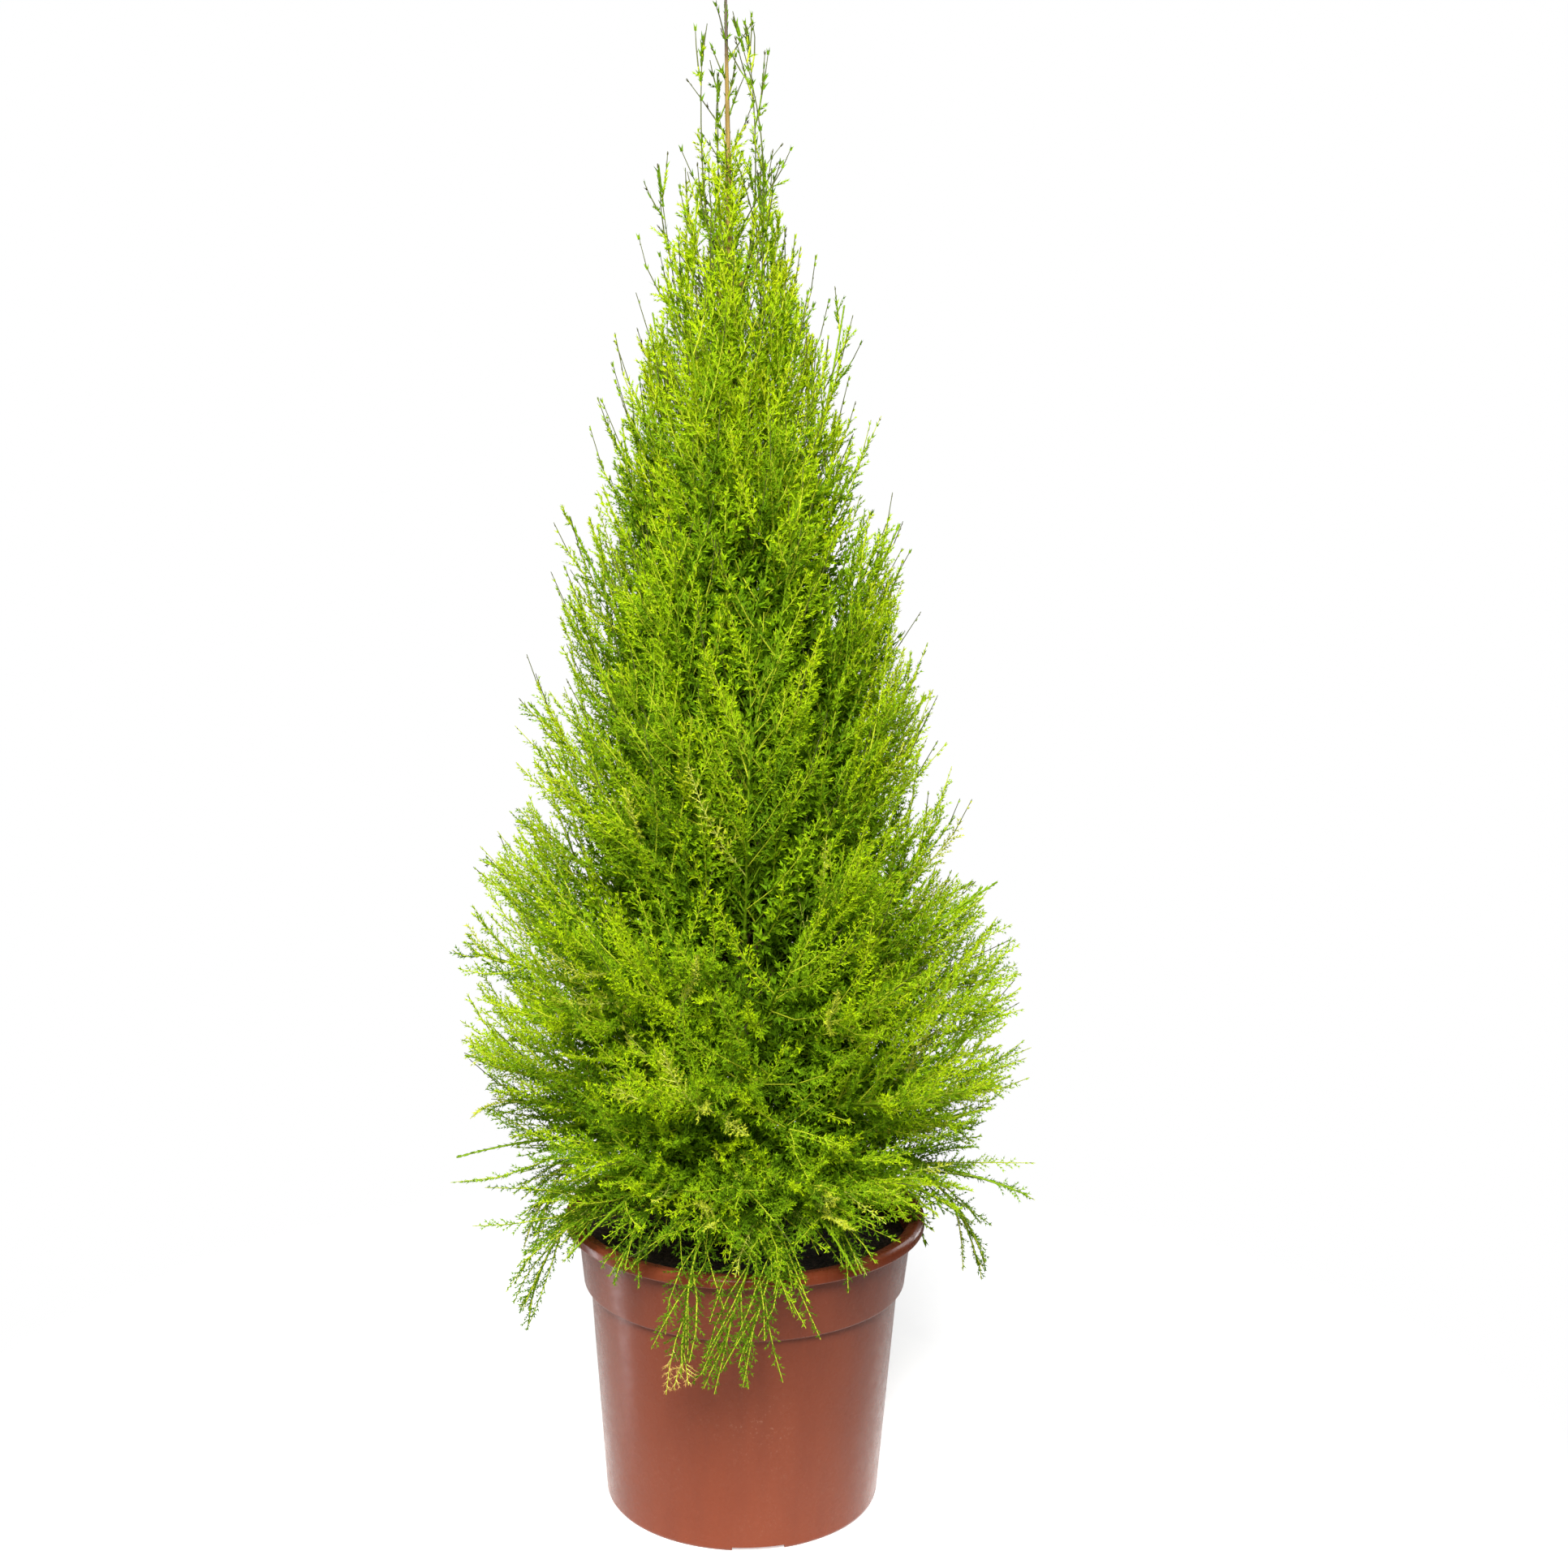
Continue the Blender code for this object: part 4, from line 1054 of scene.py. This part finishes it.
def grow_shoots(plumes, rng):
    """The side shoots of every plume. whip is the share of the shoot at which it turns bare and tufted."""
    bare = plumes.bare
    spacing = by_tier(SHOOT_SPACINGS, plumes.tier)
    rows, number, along = stations(plumes.length() * (1.0 - bare), spacing, 0.0, 1.0)
    tier = plumes.tier[rows]
    t = mixed(bare[rows], SHOOT_TO, along**SHOOT_CROWDING)
    count = len(rows)
    is_whip = rng.random(count) < by_tier(WHIP_SHARES, tier) * ramp(along, 0.0, WHIP_PLACE)
    whip = np.where(is_whip, by_tier(WHIP_STARTS, tier) * rng.uniform(*WHIP_START_SPREAD, count), NEVER)
    around = (GOLDEN_SHARE * number + ROW_SHIFT * rows) % 1.0
    turn = np.radians(SHOOT_SPREAD) * (2.0 * around - 1.0)
    lean = mixed(BLADE_LEAN, BLADE_LEAN_TIP, along) * by_tier(SHOOT_LEANS, tier)
    lean = lean + rng.uniform(-1, 1, count) * BLADE_LEAN_JITTER
    size = plumes.blade[rows] * (1.0 - BLADE_SHORTENING * along)
    size = size * (1.0 + rng.uniform(-1, 1, count) * BLADE_SIZE_JITTER)
    size = size * np.minimum(1.0, SHOOT_TIP_SIZE + (1.0 - along) / SHOOT_TIP_TAPER)
    size = size * np.where(whip < NEVER, WHIP_SIZE, 1.0)
    way, _ = plumes.ways(rows, t, turn, np.radians(lean))
    root = plumes.point(rows, t)
    curled = mixed(way, plumes.slope(rows, t), by_tier(SHOOT_CURL, tier)[:, None])
    risen = curled + by_tier(SHOOT_RISE, tier)[:, None] * UP
    later = unit(risen + rng.normal(0.0, 1.0, (count, 3)) * by_tier(SHOOT_WANDER, tier)[:, None])
    lowest = np.where(plumes.hangs[rows], LOWEST_TIP, HANG_LIMIT)
    kept = np.zeros(count)
    for share in SHOOT_TRIES:
        half = (0.5 * size * share)[:, None]
        middle, end = root + way * half, root + (way + later) * half
        limit = np.where((whip < NEVER) | (lowest < HANG_LIMIT), 1.0, along_points(DENSE_REACH, end[:, 2]))
        limit = limit * notched(end)
        fits = inside_crown(middle, limit) & inside_crown(end, limit) & (end[:, 2] > lowest)
        kept = np.where((kept == 0.0) & fits, share, kept)
    half = (0.5 * size * kept)[:, None]
    made = Lines(root, root + way * half, root + (way + later) * half, plumes.side[rows], tier=tier)
    made.whip, made.place, made.hue = whip, along, rng.normal(0.0, 1.0, count)
    made.yellowed = (rng.random(count) < YELLOWED_SHARE) & (tier <= YELLOWED_TIERS)
    made.dead = plumes.dead[rows]
    cleared = in_cleft(made.end) & (rng.random(count) < CLEFT_CLEARED)
    return made.keep((kept > 0.0) & (half[:, 0] > SHORTEST_HALF) & ~cleared)


def grow_leader(kind, whip, rng):
    """The shoots of a kind that stand on the trunk itself. whip is as for the side shoots."""
    count = kind.count
    along = (np.arange(count) + 0.5) / count
    azimuth = 360.0 * GOLDEN_SHARE * np.arange(count) + kind.turned
    lean = np.radians(rng.uniform(*kind.leans, count))[:, None]
    side = np.array([tuple(outward(a)) for a in azimuth])
    size = (mixed(*kind.lengths, along) * rng.uniform(*LEADER_SIZES, count))[:, None]
    arch = rng.uniform(*LEADER_ARCH, count)[:, None]
    root = trunk_axis(mixed(*kind.heights, along))
    turn = root + (side * np.sin(lean) + UP * np.cos(lean)) * size * 0.5
    later = side * arch * np.sin(lean) + UP + rng.normal(0.0, LEADER_WANDER, (count, 3))
    end = turn + unit(later) * size * 0.5
    end[:, 2] = np.minimum(end[:, 2], LEADER_TOP)
    made = Lines(root, turn, end, side, tier=np.full(count, len(TIERS) - 1), place=along)
    made.yellowed = made.dead = np.zeros(count, bool)
    made.whip, made.hue = np.full(count, whip), rng.normal(0.0, 1.0, count)
    return made.keep(inside_crown(end))


def grow_twigs(shoots, rng):
    """The twigs of every shoot. whip is 0 for those on the bare end of a whip."""
    lengths = shoots.length()
    coarse = inner_share(shoots)
    spacing = TWIG_SPACING * (1.0 + INNER_TWIG_SPACING * coarse)
    rows, number, along = stations(lengths, spacing, TWIG_FROM, TWIG_TO)
    t = mixed(TWIG_FROM, TWIG_TO, along)
    whip = t > shoots.whip[rows]
    count = len(rows)
    turn = np.where(number % 2 == 0, 90.0, -90.0) + rng.normal(0.0, TWIG_TURN_JITTER, count)
    faces_out = number % TWIG_OUT_STEP == TWIG_OUT_STEP - 1
    turn = np.where(faces_out, rng.normal(0.0, TWIG_OUT_JITTER, count), turn)
    lean = mixed(TWIG_LEAN, TWIG_LEAN_TIP, along) + rng.normal(0.0, TWIG_LEAN_JITTER, count)
    lean = lean - np.where(whip, WHIP_TWIG_LEAN, 0.0)
    longest = by_tier(TWIG_LENGTHS, shoots.tier[rows])
    widest = np.minimum(longest * (1.0 + INNER_TWIG_LENGTH * coarse[rows]), TWIG_LONGEST * lengths[rows])
    narrowing = TWIG_NARROWING * (1.0 - along) ** TWIG_ROUNDING + TWIG_TIP_SIZE
    outline = np.minimum(TWIG_FOOT_SIZE + TWIG_WIDENING * along, narrowing) * np.where(whip, WHIP_TWIG, 1.0)
    size = widest * outline * rng.uniform(*TWIG_SIZES, count)
    way, _ = shoots.ways(rows, t, np.radians(turn), np.radians(lean))
    root = shoots.point(rows, t)
    wandered = way + TWIG_RISE * UP + rng.normal(0.0, TWIG_WANDER, (count, 3))
    end = root + unit(wandered) * size[:, None]
    made = Lines(root, (root + end) / 2.0, end, shoots.side[rows], place=along)
    made.whip = np.where(whip, 0.0, NEVER)
    for name in ("tier", "hue", "yellowed", "dead"):
        setattr(made, name, getattr(shoots, name)[rows])
    return made.keep(inside_crown(end, 1.0, TWIG_OVERREACH) & (~whip | (number % WHIP_TWIG_STEP == 0)))


def square_to(ways):
    """A direction square to each way, of any length."""
    return np.cross(ways, np.where(np.abs(ways[:, 2:]) < 0.9, (0.0, 0.0, 1.0), (1.0, 0.0, 0.0)))


def spikes(roots, ends, radius):
    """Points and triangles of thin three-sided shoots that taper to a point."""
    along = unit(ends - roots)
    first = unit(square_to(along))
    second = np.cross(along, first)
    corners = [roots + radius * (first * math.cos(a) + second * math.sin(a)) for a in SPIKE_ANGLES]
    points = np.stack([*corners, ends], 1).reshape(-1, 3)
    base = np.arange(len(roots))[:, None, None] * 4
    faces = base + np.array(((0, 1, 3), (1, 2, 3), (2, 0, 3)))
    return points, faces.reshape(-1, 3)


def tube_faces(count, rings, sides):
    """Quads of many open tubes of rings of sides points each."""
    ring, side = np.meshgrid(np.arange(rings - 1), np.arange(sides), indexing="ij")
    low, after = ring * sides + side, ring * sides + (side + 1) % sides
    quads = np.stack([low, after, after + sides, low + sides], -1).reshape(-1, 4)
    return (np.arange(count)[:, None, None] * rings * sides + quads).reshape(-1, 4)


def tubes(lines, radius, tip_radius, sides, segments, start=0.0, end=1.0):
    """Points and quads of tapering limbs along stretches of the lines."""
    rows, zeros = np.arange(len(lines)), np.zeros(len(lines))
    first, points = None, []
    for k in range(segments + 1):
        share = k / segments
        t = mixed(start, end, share) + zeros
        ahead = lines.slope(rows, t)
        first = square_to(ahead) if first is None else first
        first = unit(first - ahead * dot(first, ahead))
        second = np.cross(ahead, first)
        wide = (mixed(radius, tip_radius, share) + zeros)[:, None]
        centre = lines.point(rows, t)
        for side in range(sides):
            a = 2.0 * math.pi * side / sides
            points.append(centre + (first * math.cos(a) + second * math.sin(a)) * wide)
    return np.stack(points, 1).reshape(-1, 3), tube_faces(len(lines), segments + 1, sides)


def spray_places(lines):
    """The point of each line by which its spray is toned."""
    return lines.point(np.arange(len(lines)), np.full(len(lines), TONED_AT))


def inner_share(lines):
    """How far inside the crown each line is, from 0 for the outer ones to 1."""
    return ramp(exposure(spray_places(lines)), INNER_FROM, INNER_TO - INNER_FROM)


def tones_of(lines, rng):
    """The tone of each line's spray, from its place in the crown and its shoot's own hue."""
    points = spray_places(lines)
    height, near = points[:, 2], exposure(points)
    low = ramp(height, LOW_FROM, -LOW_SPAN)
    high = ramp(height, HIGH_FROM, HIGH_SPAN)
    edge = ramp(near, EDGE_FROM, 1.0 - EDGE_FROM) * (height < OPEN_FROM)
    # Painted shade: the LIT_TONE term gives sprays nearer the trunk darker tones
    value = LIT_TONE * np.minimum(near, FULLY_LIT) + FIRST_TONE + LOW_TONE * low + HIGH_TONE * high
    value = value + PLACE_TONE * lines.place + EDGE_TONE * edge
    value = value + HUE_TONE * lines.hue + rng.normal(0.0, TONE_JITTER, len(lines))
    value = value + WHIP_TONE * (lines.whip < 0.5) + SKIRT_TONE * (lines.tier == 0)
    tones = np.clip(np.round(value), 0, np.where(high > 0.0, GOLD, GOLD - 1)).astype(int)
    return np.where(lines.yellowed & (tones > 1), YELLOW, tones)


def grow_needles(lines, rng, first, last, spacing, size):
    """Whorls of needles along the lines: their corners, one triangle each, and their tones and tiers."""
    coarse = inner_share(lines)
    lengths = lines.length()
    spacing = spacing * NEEDLE_SPACING * (1.0 + INNER_NEEDLE_SPACING * coarse)
    rows, number, along = stations(lengths, spacing, first, last)
    t = mixed(first, last, along)
    bare = t > lines.whip[rows]
    tuft = (t * lengths[rows] / TUFT_STEP + ROW_SHIFT * rows) % 1.0 < TUFT_SHARE
    kept = ~bare | tuft | (t > LAST_TUFT)
    rows, number, t, bare = (np.repeat(x[kept], NEEDLES_PER_WHORL) for x in (rows, number, t, bare))
    count = len(rows)
    step = 2.0 * np.pi / NEEDLES_PER_WHORL
    turn = step * (np.arange(count) % NEEDLES_PER_WHORL) + 0.5 * step * number
    turn = turn + rng.normal(0.0, NEEDLE_TURN_JITTER, count)
    widest = along_points(NEEDLE_LEANS, lines.root[rows, 2])
    lean = mixed(widest, NEEDLE_LEAN_TIP, t**NEEDLE_LEAN_CURVE) + rng.normal(0.0, NEEDLE_LEAN_JITTER, count)
    way, across = lines.ways(rows, t, turn, np.radians(lean))
    tier = lines.tier[rows]
    near_tip = (1.0 - t) * lengths[rows] < DARK_TIP
    dark = bare & near_tip & (rng.random(len(lines)) < DARK_SHARE)[rows]
    leafy = 1.0 + HIGH_SIZE * ramp(lines.root[rows, 2], HIGH_FROM, HIGH_SPAN)
    size = np.where(bare, by_tier(TUFT_SIZES, tier), leafy) * size
    size = size * np.where(tier == 0, SKIRT_SIZE, 1.0) * np.where(dark, DARK_SIZE, 1.0)
    length = size * NEEDLE_LENGTH * (1.0 + INNER_NEEDLE_LENGTH * coarse[rows])
    length = (length * rng.uniform(*NEEDLE_SIZES, count) * (1.0 - NEEDLE_TAPER * t))[:, None]
    width = (size * NEEDLE_WIDTH * (1.0 + INNER_NEEDLE_WIDTH * coarse[rows]))[:, None]
    flat = unit(np.cross(lines.slope(rows, t), across))
    roll = rng.uniform(0.0, np.pi, count)[:, None]
    broad = unit(flat * np.cos(roll) + np.cross(way, flat) * np.sin(roll))
    root = lines.point(rows, t)
    corners = [root - broad * width / 2.0, root + broad * width / 2.0, root + way * length]
    tone = np.where(lines.dead[rows] & (root[:, 2] < DEAD_BELOW), TAN, lines.tone[rows])
    return np.stack(corners, 1), np.where(dark, DARK, tone), tier


def stems_of(plumes):
    """The plumes' stems and the leader's, as lines that bear needles of their own."""
    start = LEADER_WHIPS.heights[0]
    places = [trunk_axis(height)[None] for height in (start, 0.5 * (start + TREE_HEIGHT), TREE_HEIGHT)]
    leader = Lines(*places, np.array([tuple(outward(270.0))]), tier=np.array([len(TIERS) - 1]))
    stems = join(plumes, leader)
    count = len(stems)
    stems.place, stems.hue, stems.yellowed = np.full(count, 0.5), np.zeros(count), np.zeros(count, bool)
    stems.whip = np.where(stems.tier >= len(TIERS) - SPARSE_TIERS, 0.0, NEVER)
    stems.dead = np.arange(count) == 0
    return stems


def make_crown():
    """Every plume's limbs, shoots, twigs and needles. The needles are joined by tier into pieces."""
    rng = np.random.default_rng(SEED)
    plumes = plan_plumes(random.Random(SEED + 1))
    shoots = join(grow_shoots(plumes, rng), grow_leader(LEADER_WHIPS, WHIP_STARTS[-1], rng))
    shoots = join(shoots, grow_leader(LEADER_SPRAYS, NEVER, rng))
    twigs = grow_twigs(shoots, rng)
    kinds = {"twigs": twigs, "shoots": shoots, "stems": stems_of(plumes)}
    for lines in kinds.values():
        lines.tone = tones_of(lines, rng)
    parts = [grow_needles(lines, rng, *NEEDLED[kind]) for kind, lines in kinds.items()]
    corners, tones, tiers = (np.concatenate(column) for column in zip(*parts))
    finishes = [leaf_finish(*tone) for tone in TONES.items()]
    for number, tier in enumerate(TIERS):
        chosen = np.flatnonzero(tiers == number)
        nodes = [f"plume_{tier.name}_{k + 1}" for k in range(len(tier.azimuths))]
        for part, first in enumerate(range(0, len(chosen), PIECE_LIMIT)):
            picked = chosen[first : first + PIECE_LIMIT]
            points = corners[picked].reshape(-1, 3)
            faces = np.arange(len(points)).reshape(-1, 3)
            name = f"needles_{tier.name}_{part + 1}"
            add_arrays(name, "foliage", points, faces, finishes, tones[picked], replaced=nodes)
    woods = [twig_finish(*wood) for wood in WOODS.items()]
    make_twigs(twigs, woods)
    make_shoots(shoots, woods)
    bark = bark_finish()
    make_limbs(plumes, woods, bark)
    make_trunk(bark)


def make_twigs(twigs, woods):
    dead = twigs.dead & (twigs.end[:, 2] < DEAD_BELOW)
    kinds = np.where(twigs.yellowed | dead, GOLDEN, by_tier(TWIG_BY_TONE, twigs.tone))
    kinds = np.where(twigs.whip == 0.0, OLIVE, kinds)
    step = PIECE_LIMIT // SPIKE_SIDES
    for part, first in enumerate(range(0, len(twigs), step)):
        rows = slice(first, first + step)
        points, faces = spikes(twigs.root[rows], twigs.end[rows], TWIG_RADIUS)
        add_arrays(f"twigs_{part + 1}", "foliage", points, faces, woods, np.repeat(kinds[rows], SPIKE_SIDES))


def make_shoots(shoots, woods):
    """The side shoots: pale where lit and mid green in painted shade, golden where yellowed, and olive past
    the start of a whip.
    """
    points, faces = tubes(shoots, SHOOT_RADIUS, SHOOT_TIP_RADIUS, SHOOT_SIDES, SHOOT_SEGMENTS)
    kinds = np.where((shoots.tone > 1) | (shoots.tier == 0), PALE, MID)
    kinds = np.repeat(np.where(shoots.yellowed, GOLDEN, kinds)[:, None], SHOOT_SEGMENTS, axis=1)
    kinds[np.arange(SHOOT_SEGMENTS)[None, :] + 0.3 > SHOOT_SEGMENTS * shoots.whip[:, None]] = OLIVE
    add_arrays("side_shoots", "foliage", points, faces, woods, np.repeat(kinds.ravel(), SHOOT_SIDES), True)


def make_limbs(plumes, woods, bark):
    """The bare boughs, and the plumes' leafy stems from there on."""
    bare, bough = plumes.bare, plumes.bough
    radius = np.where(bough, BOUGH_RADIUS, BARE_STEM_RADIUS)
    bearing = [tier for tier in TIERS if tier.bough]
    nodes = [f"bough_{tier.name}_{k + 1}" for tier in bearing for k in range(len(tier.azimuths))]
    shape = tubes(plumes, radius, STEM_RADIUS, BOUGH_SIDES, BOUGH_SEGMENTS, end=bare)
    add_arrays("boughs", "bark", *shape, [bark], smooth=True, replaced=nodes)
    sparse = plumes.tier >= len(TIERS) - SPARSE_TIERS
    radius = np.where(sparse, THIN_STEM_RADIUS, STEM_RADIUS)
    shape = tubes(plumes, radius, STEM_TAPER * radius, STEM_SIDES, STEM_SEGMENTS, start=bare)
    kinds = np.repeat(sparse.astype(int), STEM_SIDES * STEM_SEGMENTS)
    add_arrays("plume_stems", "bark", *shape, [woods[MID], woods[OLIVE]], kinds, True)


# Studio
def make_floor():
    """A pale floor that fades into the white studio."""
    finish = Finish("studio_floor")
    finish.set(Base_Color=(0.90, 0.90, 0.90), Roughness=0.9, Specular_IOR_Level=0.0)
    finish.set(Emission_Color=(1.0, 1.0, 1.0), Emission_Strength=0.50)
    distance = finish.node("VectorMath", {0: finish.place}, operation="LENGTH").outputs["Value"]
    finish.set(Alpha=finish.ranged(distance, FLOOR_FADE, FLOOR_RADIUS, 1.0, 0.0))
    shape = lathe([(0.0, 0.0), (FLOOR_RADIUS, 0.0)], FLOOR_SIDES)
    made = placed("studio_floor", plain_mesh("studio_floor", *shape, finish.material))


def make_backdrop():
    """A white dome that the camera sees, and that gives no light."""
    angles = [math.pi * k / DOME_RINGS for k in range(1, DOME_RINGS)]
    outline = [(DOME_RADIUS * math.sin(a), -DOME_RADIUS * math.cos(a)) for a in angles]
    finish = Finish("studio_backdrop")
    finish.set(Base_Color=(0.0, 0.0, 0.0), Specular_IOR_Level=0.0)
    finish.set(Emission_Color=(1.0, 1.0, 1.0), Emission_Strength=1.0)
    shape = lathe([(0.0, -DOME_RADIUS), *outline, (0.0, DOME_RADIUS)], DOME_SIDES)
    made = placed("studio_backdrop", plain_mesh("studio_backdrop", *shape, finish.material))
    for kind in ("diffuse", "glossy", "transmission", "volume_scatter", "shadow"):
        setattr(made, "visible_" + kind, False)


def area_light(name, place, target, size, power, colour):
    data = bpy.data.lights.new(name, "AREA")
    data.shape = "RECTANGLE"
    data.size, data.size_y = size
    data.energy = power
    data.color = colour
    light = placed(name, data)
    light.location = place
    light.rotation_euler = (Vector(target) - Vector(place)).to_track_quat("-Z", "Y").to_euler()
    light.visible_camera = False


def make_studio():
    make_floor()
    make_backdrop()
    for light in LIGHTS:
        area_light(*light)
    world = bpy.data.worlds.new("studio")
    bpy.context.scene.world = world
    world.use_nodes = True
    tree = world.node_tree
    way = tree.nodes.new("ShaderNodeTexCoord").outputs["Generated"]
    parts = tree.nodes.new("ShaderNodeSeparateXYZ")
    strength = tree.nodes.new("ShaderNodeMapRange")
    tree.links.new(way, parts.inputs[0])
    tree.links.new(parts.outputs["Z"], strength.inputs["Value"])
    for name, value in zip(("From Min", "From Max", "To Min", "To Max"), SKY_HEIGHTS + SKY_LIGHT):
        strength.inputs[name].default_value = value
    tree.links.new(strength.outputs["Result"], tree.nodes["Background"].inputs["Strength"])
    bpy.context.scene.view_settings.view_transform = "Standard"


def make_camera():
    data = bpy.data.cameras.new("camera")
    data.sensor_width = 36.0
    data.lens = CAMERA_LENS
    data.clip_start, data.clip_end = 0.05, 50.0
    camera = placed("camera", data)
    turn = Matrix.Rotation(math.radians(CAMERA_TURN), 4, "Z")
    pitch = Matrix.Rotation(math.radians(90.0 - CAMERA_PITCH), 4, "X")
    roll = Matrix.Rotation(math.radians(CAMERA_ROLL), 4, "Z")
    camera.matrix_world = Matrix.Translation((0.0, -CAMERA_DISTANCE, CAMERA_HEIGHT)) @ turn @ pitch @ roll
    bpy.context.scene.camera = camera


make_camera()
make_studio()
make_pot()
make_soil(random.Random(SEED + 2))
make_crown()
